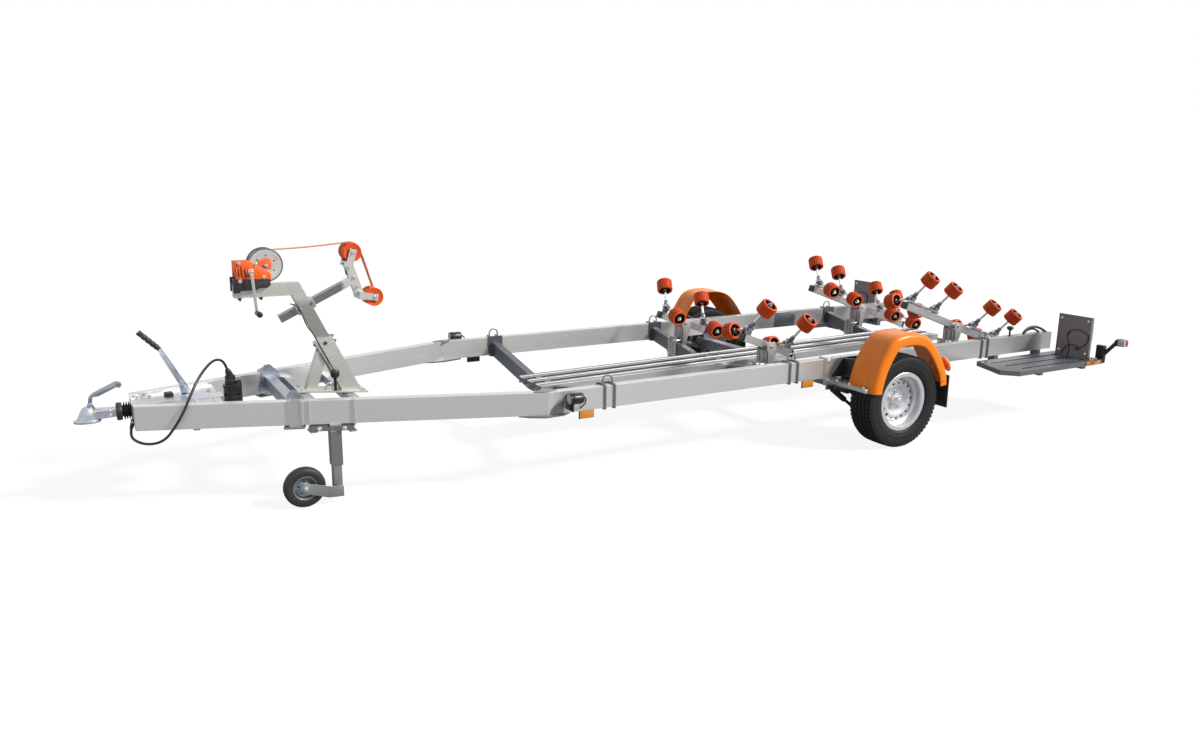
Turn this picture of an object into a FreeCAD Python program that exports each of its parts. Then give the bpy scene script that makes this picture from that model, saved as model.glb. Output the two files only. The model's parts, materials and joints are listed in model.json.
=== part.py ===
import FreeCAD
import Part
import math
import os

# Braked single-axle boat trailer, parked on its jockey wheel. Millimetres.
# X runs from the coupling (-X) to the tail lamps (+X), Y to the trailer's right, Z up.
# The origin is on the ground, midway along the length, on the centre line.

# Chassis in plan
NOSE_REACH = 280.0
DRAWBAR_RUN = 2055.0
RAIL_RUN = 4390.0
TAIL_REACH = 120.0
CHASSIS_WIDTH = 1740.0
DRAWBAR_FRONT_WIDTH = 350.0

# Side member section
RAIL_Z = 450.0
RAIL_HEIGHT = 130.0
RAIL_WIDTH = 60.0
RAIL_WALL = 4.0

# Dropped crossmembers, measured back from the bend of the chassis
CROSS_FROM_BEND = (400.0, 1785.0, 3625.0)
CROSS_WIDTH = 50.0
CROSS_HEIGHT = 100.0
CROSS_TOP_BELOW_RAIL = 32.0
CROSS_SLOPE = 0.187
TROUGH_HALF = 190.0
END_PLATE = 8.0
END_PLATE_WIDTH = 112.0

# Clamps that wrap the side members
STRAP = 10.0
STRAP_PITCH = 64.0
LOOP_ROD_RADIUS = 5.0
LOOP_RISE = 20.0

# Front crosstubes between the drawbars, as distances back from the drawbar's front
FRONT_TUBE_FROM_DRAWBAR = (784.0, 892.0, 1150.0)
FRONT_CLAMP_FROM_DRAWBAR = 762.0
FRONT_CLAMP_WIDTH = 62.0
FRONT_CLAMP_PEAK = 16.0
FRONT_TUBE_WIDTH = 60.0
WINCH_TUBE_WIDTH = 50.0
FRONT_TUBE_HEIGHT = 70.0
WINCH_TUBE_HEIGHT = 50.0
BASE_PLATE = 8.0
BASE_PLATE_SPAN = (858.0, 1262.0)
BASE_PLATE_SLOPE = 0.104

# Walkway along the middle
WALKWAY_START_AHEAD = 100.0
WALKWAY_LENGTH = 3620.0
WALKWAY_WIDTH = 350.0
WALKWAY_HEIGHT = 50.0
WALKWAY_GAP = 24.0
WALKWAY_WALL = 3.0
WALKWAY_RECESS = 5.0
WALKWAY_EDGE = 16.0
WALKWAY_FRONT_TOP = 435.0
WALKWAY_RISE = 0.0142

# Wheels, axle and suspension
AXLE_FROM_BEND = 2465.0
TYRE_RADIUS = 314.5
TYRE_WIDTH = 195.0
WHEEL_OUTSIDE_RAIL = 335.0
RIM_FLANGE_RADIUS = 196.0
RIM_WELL_RADIUS = 150.0
BEAD_RADIUS = 178.0
RIM_WIDTH = 165.0
RIM_WALL = 4.0
HUB_RADIUS = 42.0
DRUM_RADIUS = 125.0
STUB_RADIUS = 20.0
BEARING_CLEARANCE = 0.3
AXLE_TUBE = 80.0
AXLE_TUBE_DROP = 120.0
AXLE_PLATE = 8.0
ARM_TRAIL = 150.0
ARM_THICKNESS = 30.0

# Mudguards
GUARD_OUTSIDE_RAIL = 120.0
GUARD_WIDTH = 235.0
GUARD_ROLL = 24.0
GUARD_SHEET = 4.0
GUARD_SKIRT = 78.0
GUARD_FROM_AXLE = (
    (-306.0, 448.0), (-286.0, 520.0), (-262.0, 585.0), (-226.0, 650.0), (-184.0, 712.0),
    (-150.0, 745.0), (-112.0, 765.0), (-50.0, 776.0), (18.0, 778.0), (80.0, 772.0), (136.0, 757.0),
    (182.0, 734.0), (220.0, 704.0), (276.0, 640.0), (330.0, 562.0), (364.0, 500.0), (382.0, 440.0),
)
GUARD_LOW = 400.0
FLAP_LOW = 235.0

# Hull rollers on rocking beams
ROCKER_Y = 510.0
ROCKER_Z = 630.0
ROCKER_SETBACK = 60.0
ROCKER_TILT = 19.4
ROCKER_DEPTH = 50.0
ROCKER_WIDTH = 44.0
ROCKER_WALL = 3.0
MIDDLE_ROCKER_LENGTH = 470.0
REAR_ROCKER_LENGTH = 1170.0
MIDDLE_FORKS = (-187.0, 187.0)
REAR_FORKS = (-519.0, -242.0, 242.0, 519.0)
FORK_RISE = 75.0
FORK_REACH = 184.0
OUTER_FORK_ANGLE = 54.0
INNER_FORK_ANGLE = -17.0
FORK_ROD_RADIUS = 9.0
HULL_ROLLER_RADIUS = 59.0
HULL_ROLLER_LENGTH = 84.0
ROLLER_TREAD = 14.0
ROLLER_HUB_RADIUS = 20.0
ROLLER_CLEARANCE = 0.4
ROLLER_RIBS = 24
ROLLER_RIB_HEIGHT = 3.5
ROLLER_CREST_SHARE = 0.5
POST_WIDTH = 110.0
POST_SHEET = 6.0
PIVOT_RADIUS = 10.0

# Winch post
POST_LEAN = 25.5
POST_TUBE = 70.0
POST_TOP_AHEAD_OF_PLATE = 377.0
POST_TOP_X_FROM_DRAWBAR = BASE_PLATE_SPAN[1] - POST_TOP_AHEAD_OF_PLATE
POST_TOP_Z = 1130.0
ARM_REACH = 328.0
BOW_ARM_SIDE = 44.0
BOW_ARM_FRONT = 155.0
BOW_ARM_REAR = 300.0
BOW_SLEEVE_DROP = 115.0
BOW_UPPER = (POST_TOP_X_FROM_DRAWBAR + 324.0, 1324.0)
BOW_LOWER = (POST_TOP_X_FROM_DRAWBAR + 442.0, 1060.0)
BOW_SPINE_TOP = (POST_TOP_X_FROM_DRAWBAR + 305.0, 1262.0)
BOW_SPINE_LOW = (POST_TOP_X_FROM_DRAWBAR + 367.0, 1072.0)
BOW_SPINE_DEPTH = 50.0
BOW_ROLLER_RADIUS = 54.0
BOW_ROLLER_LENGTH = 110.0

# Winch
DRUM_FROM_DRAWBAR = POST_TOP_X_FROM_DRAWBAR - 154.0
DRUM_Z = 1271.0
DRUM_FLANGE_RADIUS = 94.0
DRUM_CORE_RADIUS = 80.0
DRUM_WIDTH = 70.0
STRAP_THICKNESS = 4.0

# Coupling and overrun
COUPLING_Z = 524.0
BALL_RADIUS = 25.4
COUPLING_HEAD_REACH = 66.0
COUPLING_SECTIONS = (
    (0.0, 62.0, 43.0, -34.0), (4.0, 50.0, 39.5, -18.0), (6.0, 42.0, 37.0, 2.0), (7.0, 36.0, 33.0, 22.0),
    (8.0, 27.0, 25.0, 36.0), (8.0, 15.0, 14.0, 43.0),
)
NECK_SECTIONS = (
    (84.0, 31.0, -30.0, 30.0), (128.0, 29.0, -27.0, 28.0), (170.0, 27.0, -25.0, 27.0),
    (205.0, 26.0, -24.0, 26.0),
)
NECK_ROUND = 12.0
OVERRUN_WIDTH = 120.0

LEVER_PIVOT = (276.0, 590.0)
LEVER_KNEE = (155.0, 850.0)
LEVER_TIP = (64.0, 944.0)
HOUSING_RUN = 460.0
HOLDER_FROM_DRAWBAR = 507.0
FRONT_LAMPS = ((122.0, -36.0, -1), (112.0, 8.0, 1))
HOLDER_RADIUS = 42.0
HOLDER_TOP = 612.0
PLUG_RADIUS = 29.0
PLUG_BODY_TOP = 656.0
PLUG_LEAN = (-0.2886, -0.3085, 0.9063)
PLUG_BOOT = 50.0

# Jockey wheel
JOCKEY_FROM_DRAWBAR = 955.0
JOCKEY_Y = -478.0
JOCKEY_STRAPS = (828.0, 1053.0)
JOCKEY_SEAT_DEPTH = 26.0
JOCKEY_SEAT_WIDTH = 66.0
JOCKEY_WHEEL_RADIUS = 112.0
JOCKEY_WHEEL_WIDTH = 62.0
JOCKEY_WHEEL_LEAD = 178.0
JOCKEY_OUTER = 60.0
JOCKEY_INNER = 48.0
JOCKEY_SLIDE_GAP = 0.5

# Tail
PLATFORM_TOP = 428.0
PLATFORM_DEPTH = 34.0
PLATFORM_OUTSIDE_RAIL = 398.0
BOARD_FROM_RAIL_END = 55.0
BOARD_OUTSIDE_RAIL = 92.0
BOARD_WIDTH = 268.0
BOARD_HEIGHT = 318.0
BOARD_SHEET = 4.0

# Seven-core lead to the towing vehicle
LEAD_RADIUS = 7.0
LEAD_ROUTE = (
    (-3150.0, -70.0, 462.0),
    (-3165.0, -102.0, 430.0),
    (-3159.0, -153.0, 398.0),
    (-3095.0, -206.0, 376.0),
    (-3015.0, -256.0, 400.0),
    (-2957.0, -284.0, 484.0),
    (-2912.0, -286.0, 560.0),
    (-2869.0, -262.0, 642.0),
    (-2825.0, -218.0, 708.0),
    (-2778.0, -160.0, 750.0),
    (-2731.0, -103.0, 775.0),
    (-2690.4, -59.2, 769.8),
    (-2662.8, -29.5, 741.5),
    (-2649.9, -15.4, 701.3),
)

LENGTH = NOSE_REACH + DRAWBAR_RUN + RAIL_RUN + TAIL_REACH
NOSE_X = -LENGTH / 2
DRAWBAR_X = NOSE_X + NOSE_REACH
BEND_X = DRAWBAR_X + DRAWBAR_RUN
RAIL_END_X = BEND_X + RAIL_RUN
TAIL_X = RAIL_END_X + TAIL_REACH
AXLE_X = BEND_X + AXLE_FROM_BEND
RAIL_TOP = RAIL_Z + RAIL_HEIGHT
RAIL_OUTER = CHASSIS_WIDTH / 2
RAIL_INNER = RAIL_OUTER - RAIL_WIDTH
DRAWBAR_FRONT_OUTER = DRAWBAR_FRONT_WIDTH / 2
SPLAY = math.atan2(RAIL_OUTER - DRAWBAR_FRONT_OUTER, DRAWBAR_RUN)
CROSS_XS = [BEND_X + offset for offset in CROSS_FROM_BEND]
CROSS_TOP = RAIL_TOP - CROSS_TOP_BELOW_RAIL
WHEEL_OUTER_Y = RAIL_OUTER + WHEEL_OUTSIDE_RAIL
WHEEL_Y = WHEEL_OUTER_Y - TYRE_WIDTH / 2
GUARD_INNER_Y = RAIL_OUTER + GUARD_OUTSIDE_RAIL
GUARD_OUTER_Y = GUARD_INNER_Y + GUARD_WIDTH
PLATFORM_OUTER_Y = RAIL_OUTER + PLATFORM_OUTSIDE_RAIL
BOARD_INNER_Y = RAIL_OUTER + BOARD_OUTSIDE_RAIL
TILT = math.radians(ROCKER_TILT)
LEAN = math.radians(POST_LEAN)

V = FreeCAD.Vector
UP = V(0, 0, 1)
ACROSS = V(0, 1, 0)


def polygon_prism(points, direction):
    """Extrude a closed outline of 3-D points."""
    return Part.Face(Part.makePolygon(points + [points[0]])).extrude(direction)


def plan_prism(outline, z0, z1):
    """Outline of (x, y) points, from height z0 to z1."""
    return polygon_prism([V(x, y, z0) for x, y in outline], V(0, 0, z1 - z0))


def side_prism(outline, y0, y1):
    """Outline of (x, z) points, from y0 to y1."""
    return polygon_prism([V(x, y0, z) for x, z in outline], V(0, y1 - y0, 0))


def section_prism(outline, x0, x1):
    """Outline of (y, z) points, from x0 to x1."""
    return polygon_prism([V(x0, y, z) for y, z in outline], V(x1 - x0, 0, 0))


def box(x0, x1, y0, y1, z0, z1):
    return Part.makeBox(x1 - x0, y1 - y0, z1 - z0, V(x0, y0, z0))


def rod(start, end, radius):
    """Round bar between two points."""
    span = end - start
    return Part.makeCylinder(radius, span.Length, start, span)


def turned(profile, centre, axis):
    """Revolve (radius, along) points about an axis through centre."""
    outline = [V(r, 0, h) for r, h in profile]
    face = Part.Face(Part.makePolygon(outline + [outline[0]]))
    solid = face.revolve(V(0, 0, 0), UP, 360)
    solid.Placement = FreeCAD.Placement(centre, FreeCAD.Rotation(UP, axis))
    return solid


def leaning_bar(start, end, depth, y0, y1):
    """Flat-sided bar between two (x, z) points, its depth square to its run."""
    run = V(end[0] - start[0], 0, end[1] - start[1])
    side = V(-run.z, 0, run.x).normalize() * (depth / 2)
    a, b = V(start[0], y0, start[1]), V(end[0], y0, end[1])
    return polygon_prism([a - side, b - side, b + side, a + side], V(0, y1 - y0, 0))


def mirrored(shape):
    return shape.mirror(V(0, 0, 0), ACROSS)


def joined(shapes):
    result = shapes[0]
    for shape in shapes[1:]:
        result = result.fuse(shape)
    return result.removeSplitter()


def pair(shape):
    """The piece and its twin on the other side of the trailer."""
    return Part.makeCompound([shape, mirrored(shape)])


def outer_y(x):
    """Outer face of the side member at x."""
    return min(RAIL_OUTER, DRAWBAR_FRONT_OUTER + (x - DRAWBAR_X) * math.tan(SPLAY))


def inner_y(x):
    """Inner face of the side member at x."""
    return min(RAIL_INNER, outer_y(x) - RAIL_WIDTH / math.cos(SPLAY))


def between_drawbars(x0, x1, z0, z1):
    """Block that fills the space between the drawbars' inner faces."""
    near, far = inner_y(x0), inner_y(x1)
    return plan_prism([(x0, -near), (x1, -far), (x1, far), (x0, near)], z0, z1)


def drawbars():
    width = RAIL_WIDTH / math.cos(SPLAY)
    wall = RAIL_WALL / math.cos(SPLAY)
    mitre = BEND_X + RAIL_WIDTH * math.tan(SPLAY / 2)
    outline = [
        (DRAWBAR_X, DRAWBAR_FRONT_OUTER),
        (BEND_X, RAIL_OUTER),
        (mitre, RAIL_INNER),
        (DRAWBAR_X, DRAWBAR_FRONT_OUTER - width),
    ]
    start, end = DRAWBAR_X + RAIL_WALL, BEND_X + RAIL_WIDTH
    rise = math.tan(SPLAY)
    front = DRAWBAR_FRONT_OUTER + RAIL_WALL * rise
    back = front + (end - start) * rise
    cavity = [
        (start, front - wall),
        (end, back - wall),
        (end, back - width + wall),
        (start, front - width + wall),
    ]
    bar = plan_prism(outline, RAIL_Z, RAIL_TOP)
    bar = bar.cut(plan_prism(cavity, RAIL_Z + RAIL_WALL, RAIL_TOP - RAIL_WALL))
    return pair(bar)


def main_rails():
    mitre = BEND_X + RAIL_WIDTH * math.tan(SPLAY / 2)
    outline = [
        (BEND_X, RAIL_OUTER),
        (RAIL_END_X, RAIL_OUTER),
        (RAIL_END_X, RAIL_INNER),
        (mitre, RAIL_INNER),
    ]
    rail = plan_prism(outline, RAIL_Z, RAIL_TOP)
    cavity = box(
        BEND_X - RAIL_WIDTH, RAIL_END_X - RAIL_WALL,
        RAIL_INNER + RAIL_WALL, RAIL_OUTER - RAIL_WALL,
        RAIL_Z + RAIL_WALL, RAIL_TOP - RAIL_WALL,
    )
    return pair(rail.cut(cavity))


def walkway_top(x):
    """Height of the walkway's tread at x."""
    return WALKWAY_FRONT_TOP + (x - (CROSS_XS[0] - WALKWAY_START_AHEAD)) * WALKWAY_RISE


def cross_top(y):
    """Height of a crossmember's sloping top at distance y from the centre line."""
    return CROSS_TOP - (RAIL_INNER - abs(y)) * CROSS_SLOPE


def crossmember(x):
    """Dropped tube whose middle is a flat trough under the walkway."""
    half = CROSS_WIDTH / 2
    floor = min(cross_top(TROUGH_HALF), walkway_top(x - half) - WALKWAY_HEIGHT)
    end = RAIL_INNER - END_PLATE
    low = cross_top(TROUGH_HALF) - CROSS_HEIGHT
    outline = [
        (-end, cross_top(end)), (-TROUGH_HALF, cross_top(TROUGH_HALF)),
        (-TROUGH_HALF, floor), (TROUGH_HALF, floor),
        (TROUGH_HALF, cross_top(TROUGH_HALF)), (end, cross_top(end)),
        (end, cross_top(end) - CROSS_HEIGHT), (TROUGH_HALF, low),
        (-TROUGH_HALF, low), (-end, cross_top(end) - CROSS_HEIGHT),
    ]
    if floor >= cross_top(TROUGH_HALF):
        outline = outline[:2] + outline[4:]
    tube = section_prism(outline, x - half, x + half)
    plate = [
        (x - END_PLATE_WIDTH / 2, RAIL_TOP + STRAP),
        (x + END_PLATE_WIDTH / 2, RAIL_TOP + STRAP),
        (x + END_PLATE_WIDTH / 2, RAIL_Z + 20),
        (x + 30, RAIL_Z - STRAP),
        (x - 30, RAIL_Z - STRAP),
        (x - END_PLATE_WIDTH / 2, RAIL_Z + 20),
    ]
    right = side_prism(plate, end, RAIL_INNER)
    return joined([tube, right, mirrored(right)])


def front_crosstube(x, width, height, top):
    return between_drawbars(x - width / 2, x + width / 2, top - height, top)


def front_tube_ear(x):
    """Rounded end plate of the front crosstube, standing above the drawbar."""
    outline = [
        (x - 75, RAIL_Z + 20), (x - 60, RAIL_TOP - 20), (x - 46, RAIL_TOP + 30), (x - 28, RAIL_TOP + 46),
        (x + 2, RAIL_TOP + 46), (x + 22, RAIL_TOP + 26), (x + 58, RAIL_TOP - 10), (x + 74, RAIL_TOP - 50),
        (x + 60, RAIL_Z + 10),
    ]
    ear = side_prism(outline, -END_PLATE, 0)
    ear.rotate(V(x, 0, 0), UP, math.degrees(SPLAY))
    ear.translate(V(0, inner_y(x), 0))
    return ear


def base_bottom(x):
    """Height of the sloping underside of the winch post's base plate at x."""
    return RAIL_TOP - 42 - (x - (DRAWBAR_X + BASE_PLATE_SPAN[0])) * BASE_PLATE_SLOPE


def crossmembers():
    tubes = [crossmember(x) for x in CROSS_XS]
    first, second, third = [DRAWBAR_X + offset for offset in FRONT_TUBE_FROM_DRAWBAR]
    front = front_crosstube(first, FRONT_TUBE_WIDTH, FRONT_TUBE_HEIGHT, RAIL_TOP - 25)
    ear = front_tube_ear(first)
    tubes.append(joined([front, ear, mirrored(ear)]))
    for x in (second, third):
        top = base_bottom(x + WINCH_TUBE_WIDTH / 2)
        tubes.append(front_crosstube(x, WINCH_TUBE_WIDTH, WINCH_TUBE_HEIGHT, top))
    return Part.makeCompound(tubes)


def wrap_strap(x, inner, outer):
    """Square bar bent over, down and under a side member."""
    corner = 5.0
    outline = [
        (inner, RAIL_TOP), (outer, RAIL_TOP), (outer, RAIL_Z), (inner, RAIL_Z),
        (inner, RAIL_Z - STRAP), (outer + STRAP - corner, RAIL_Z - STRAP),
        (outer + STRAP, RAIL_Z - STRAP + corner), (outer + STRAP, RAIL_TOP + STRAP - corner),
        (outer + STRAP - corner, RAIL_TOP + STRAP), (inner, RAIL_TOP + STRAP),
    ]
    return section_prism(outline, x - STRAP / 2, x + STRAP / 2)


def rail_clamp(x):
    """Two wrapping straps joined by a tie-down loop that stands on them."""
    half = STRAP_PITCH / 2
    straps = [wrap_strap(x + side * half, RAIL_INNER, RAIL_OUTER) for side in (-1, 1)]
    y = RAIL_OUTER - RAIL_WIDTH / 2
    top = RAIL_TOP + STRAP / 2
    arch = Part.makeTorus(half, LOOP_ROD_RADIUS, V(x, y, top + LOOP_RISE), ACROSS)
    above = box(x - 80, x + 80, y - 40, y + 40, top + LOOP_RISE, top + LOOP_RISE + 80)
    legs = [
        rod(V(x + side * half, y, top), V(x + side * half, y, top + LOOP_RISE), LOOP_ROD_RADIUS)
        for side in (-1, 1)
    ]
    return joined(straps + [arch.common(above)] + legs)


def on_drawbar(shape, x):
    """Turns a shape made at the origin to the drawbar's splay, on its outer face at x."""
    shape.rotate(V(0, 0, 0), UP, math.degrees(SPLAY))
    shape.translate(V(x, outer_y(x), 0))
    return shape


def front_tube_clamp(x):
    """Two straps round the drawbar with a peaked plate between them on its outer face."""
    half = FRONT_CLAMP_WIDTH / 2
    plate = side_prism([
        (-half, RAIL_Z - STRAP), (-half, RAIL_TOP + STRAP), (-half + 18, RAIL_TOP + FRONT_CLAMP_PEAK),
        (half - 18, RAIL_TOP + FRONT_CLAMP_PEAK), (half, RAIL_TOP + STRAP), (half, RAIL_Z - STRAP),
    ], 0, 5)
    straps = [wrap_strap(side * half, -RAIL_WIDTH, 0) for side in (-1, 1)]
    sole = box(-half, half, -RAIL_WIDTH, 5, RAIL_Z - STRAP, RAIL_Z)
    return on_drawbar(joined([plate, sole] + straps), x)


def bend_plate(z0, z1, reach, overhang):
    """Fish plate that follows the bend of the side member and stands out beyond it."""
    x0, x1 = BEND_X - reach, BEND_X + reach
    outline = [
        (x0, outer_y(x0) - 20), (x0 + 50, outer_y(x0 + 50) + overhang * 0.6),
        (BEND_X - 20, RAIL_OUTER + overhang), (x1 - 60, RAIL_OUTER + overhang * 0.8),
        (x1, RAIL_OUTER - 20), (x1 - 20, RAIL_INNER),
        (BEND_X, RAIL_INNER - 40), (x0 + 60, inner_y(x0 + 60)),
    ]
    return plan_prism(outline, z0, z1)


def clamp_fittings():
    pieces = []
    for x in CROSS_XS:
        clamp = rail_clamp(x)
        pieces += [clamp, mirrored(clamp)]
    gusset = side_prism([
        (BEND_X + 10, RAIL_Z), (BEND_X + 24, RAIL_Z + 34), (BEND_X + 56, RAIL_Z + 62),
        (BEND_X + 96, RAIL_Z + 70), (BEND_X + 96, RAIL_Z),
    ], RAIL_OUTER, RAIL_OUTER + 5)
    under = bend_plate(RAIL_Z - 10, RAIL_Z, 150, 22).fuse(gusset)
    over = bend_plate(RAIL_TOP, RAIL_TOP + 6, 70, -14)
    pieces += [under, mirrored(under), over, mirrored(over)]
    clamp = front_tube_clamp(DRAWBAR_X + FRONT_CLAMP_FROM_DRAWBAR)
    pieces += [clamp, mirrored(clamp)]
    return Part.makeCompound(pieces)


def walkway():
    """Three hollow planks side by side, tied by thin strips underneath."""
    x0 = CROSS_XS[0] - WALKWAY_START_AHEAD
    x1 = x0 + WALKWAY_LENGTH
    plank = (WALKWAY_WIDTH - 2 * WALKWAY_GAP) / 3
    pieces = []
    for index in range(3):
        y = -WALKWAY_WIDTH / 2 + index * (plank + WALKWAY_GAP)
        bar = side_prism([
            (x0, walkway_top(x0)), (x1, walkway_top(x1)),
            (x1, walkway_top(x1) - WALKWAY_HEIGHT), (x0, walkway_top(x0) - WALKWAY_HEIGHT),
        ], y, y + plank)
        hollow = side_prism([
            (x0 - 1, walkway_top(x0 - 1) - WALKWAY_RECESS - WALKWAY_WALL),
            (x1 + 1, walkway_top(x1 + 1) - WALKWAY_RECESS - WALKWAY_WALL),
            (x1 + 1, walkway_top(x1 + 1) - WALKWAY_HEIGHT - 1),
            (x0 - 1, walkway_top(x0 - 1) - WALKWAY_HEIGHT - 1),
        ], y + WALKWAY_WALL, y + plank - WALKWAY_WALL)
        recess = side_prism([
            (x0 - 1, walkway_top(x0 - 1) + 1), (x1 + 1, walkway_top(x1 + 1) + 1),
            (x1 + 1, walkway_top(x1 + 1) - WALKWAY_RECESS),
            (x0 - 1, walkway_top(x0 - 1) - WALKWAY_RECESS),
        ], y + WALKWAY_EDGE, y + plank - WALKWAY_EDGE)
        pieces.append(bar.cut(hollow).cut(recess))
    for share in (0.09, 0.28, 0.5, 0.72, 0.93):
        x = x0 + share * WALKWAY_LENGTH
        top = walkway_top(x) - 16
        pieces.append(box(x - 20, x + 20, -WALKWAY_WIDTH / 2 + 2, WALKWAY_WIDTH / 2 - 2, top - 6, top))
    return joined(pieces)


def axle():
    """Rubber torsion axle: beam under the rails, trailing arms, stubs and backplates."""
    tube_x, tube_z = AXLE_X - ARM_TRAIL, RAIL_Z + AXLE_TUBE / 2 - AXLE_TUBE_DROP
    end = RAIL_OUTER + 34
    half = AXLE_TUBE / 2
    beam = box(tube_x - half, tube_x + half, -end, end, tube_z - half, tube_z + half)
    pieces = [beam]
    hanger = side_prism([
        (tube_x - 48, tube_z - half), (tube_x + 48, tube_z - half), (tube_x + 48, RAIL_Z + 20),
        (tube_x + 30, RAIL_TOP - 20), (tube_x - 30, RAIL_TOP - 20), (tube_x - 48, RAIL_Z + 20),
    ], RAIL_INNER - AXLE_PLATE, RAIL_INNER)
    pieces += [hanger, mirrored(hanger)]
    for side in (-1, 1):
        y0, y1 = sorted((side * end, side * (end + ARM_THICKNESS)))
        pieces.append(leaning_bar((tube_x, tube_z), (AXLE_X, TYRE_RADIUS), 76, y0, y1))
        for x, z in ((tube_x, tube_z), (AXLE_X, TYRE_RADIUS)):
            pieces.append(rod(V(x, y0, z), V(x, y1, z), 38))
        backplate = V(AXLE_X, side * (end + ARM_THICKNESS), TYRE_RADIUS)
        pieces.append(rod(backplate, backplate + V(0, side * 8, 0), DRUM_RADIUS + 3))
        pieces.append(rod(backplate, V(AXLE_X, side * (WHEEL_Y + 20), TYRE_RADIUS), STUB_RADIUS))
        damper_y = side * (RAIL_OUTER + 22)
        eye = V(AXLE_X - 366, damper_y, 396)
        lug = V(AXLE_X - 96, damper_y, TYRE_RADIUS - 8)
        run = (lug - eye).normalize()
        pieces.append(rod(eye, lug, 10))
        pieces.append(rod(eye + run * 24, eye + run * 165, 19))
        pieces.append(rod(lug, V(lug.x, side * (end + 2), lug.z), 12))
    return joined(pieces)


def tyre(side):
    half = TYRE_WIDTH / 2
    profile = [
        (BEAD_RADIUS, -70), (BEAD_RADIUS, -76), (RIM_FLANGE_RADIUS + 2, -76),
        (RIM_FLANGE_RADIUS + 8, -86),
        (RIM_FLANGE_RADIUS + 45, -half), (TYRE_RADIUS - 40, -half + 2),
        (TYRE_RADIUS - 14, -half + 10), (TYRE_RADIUS - 3, -half + 24), (TYRE_RADIUS, -half + 40),
        (TYRE_RADIUS, half - 40), (TYRE_RADIUS - 3, half - 24), (TYRE_RADIUS - 14, half - 10),
        (TYRE_RADIUS - 40, half - 2), (RIM_FLANGE_RADIUS + 45, half),
        (RIM_FLANGE_RADIUS + 8, 86), (RIM_FLANGE_RADIUS + 2, 76), (BEAD_RADIUS, 76),
        (BEAD_RADIUS, 70),
        (TYRE_RADIUS - 30, half - 20), (TYRE_RADIUS - 14, half - 40),
        (TYRE_RADIUS - 14, -half + 40), (TYRE_RADIUS - 30, -half + 20),
    ]
    return turned(profile, V(AXLE_X, side * WHEEL_Y, TYRE_RADIUS), ACROSS)


def rim(side):
    """Pressed steel wheel with its brake drum and hub, +along facing outwards."""
    flange = RIM_WIDTH / 2
    well = RIM_WELL_RADIUS
    barrel = [
        (BEAD_RADIUS - 0.3, -flange + 6), (RIM_FLANGE_RADIUS, -flange + 6),
        (RIM_FLANGE_RADIUS, -flange), (BEAD_RADIUS - 8, -flange),
        (BEAD_RADIUS - 8, -flange + 34), (well - RIM_WALL, -flange + 46), (well - RIM_WALL, 20),
        (BEAD_RADIUS - 12, 38), (BEAD_RADIUS - 8, flange), (RIM_FLANGE_RADIUS, flange),
        (RIM_FLANGE_RADIUS, flange - 6), (BEAD_RADIUS - 0.3, flange - 6),
        (BEAD_RADIUS - 0.3, 44), (well, 28), (well, -flange + 50), (BEAD_RADIUS - 0.3, -flange + 38),
    ]
    disc = [
        (0, 2), (82, 2), (90, 18), (118, 26), (138, 14), (146, -8), (well - RIM_WALL, -8),
        (well - RIM_WALL, 20), (142, 22), (120, 32), (86, 24), (78, 8), (0, 8),
    ]
    place = V(AXLE_X, side * WHEEL_Y, TYRE_RADIUS)
    axis = V(0, side, 0)
    bore = STUB_RADIUS + BEARING_CLEARANCE
    inner_face = RAIL_OUTER + 34 + ARM_THICKNESS + 8 + 2 - WHEEL_Y
    drum = [
        (bore, inner_face), (DRUM_RADIUS, inner_face), (DRUM_RADIUS, -20),
        (HUB_RADIUS + 30, -6), (HUB_RADIUS + 30, 2), (bore, 2),
    ]
    cap = [(0, 30), (0, 56), (22, 56), (26, 50), (26, 8), (bore, 8), (bore, 30)]
    pieces = [turned(profile, place, axis) for profile in (barrel, disc, drum, cap)]
    body = joined(pieces)
    void = rod(place - axis * 200, place + axis * 30, bore)
    holes = []
    for index in range(16):
        angle = math.radians(index * 360 / 16)
        centre = place + V(math.cos(angle), 0, math.sin(angle)) * 124
        holes.append(rod(centre, centre + axis * 60, 7.5))
    return body.cut(void).cut(Part.makeCompound(holes))


def guard_arch(inset, y0, y1, roll):
    """Solid under the mudguard's arch, drawn in towards the axle by inset, its outer edge rolled."""
    points = []
    for reach, z in GUARD_FROM_AXLE:
        rise = z - TYRE_RADIUS
        share = 1 - inset / math.hypot(reach, rise)
        points.append(V(AXLE_X + reach * share, y0, TYRE_RADIUS + rise * share))
    crown = Part.BSplineCurve()
    crown.interpolate(points)
    low = GUARD_LOW - inset
    front, rear = V(points[0].x - 4, y0, low), V(points[-1].x + 4, y0, low)
    edges = [Part.makeLine(front, points[0]), crown.toShape(), Part.makeLine(points[-1], rear)]
    edges.append(Part.makeLine(rear, front))
    arch = Part.Face(Part.Wire(edges)).extrude(V(0, y1 - y0, 0))
    if not roll:
        return arch
    rim_edges = [
        edge for edge in arch.Edges if edge.BoundBox.YMin > y1 - 0.01 and edge.BoundBox.ZMax > low + 1
    ]
    return arch.makeFillet(roll, rim_edges)


def mudguard():
    """Pressed arch: a curved sheet over the tread, rolled into a skirt down the outer face."""
    arch = guard_arch(0, GUARD_INNER_Y, GUARD_OUTER_Y, GUARD_ROLL)
    under = guard_arch(GUARD_SHEET, GUARD_INNER_Y - 1, GUARD_OUTER_Y - GUARD_SHEET, GUARD_ROLL - GUARD_SHEET)
    opening = guard_arch(GUARD_SKIRT, GUARD_INNER_Y - 1, GUARD_OUTER_Y + 1, 0)
    return arch.cut(under).cut(opening)


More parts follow.
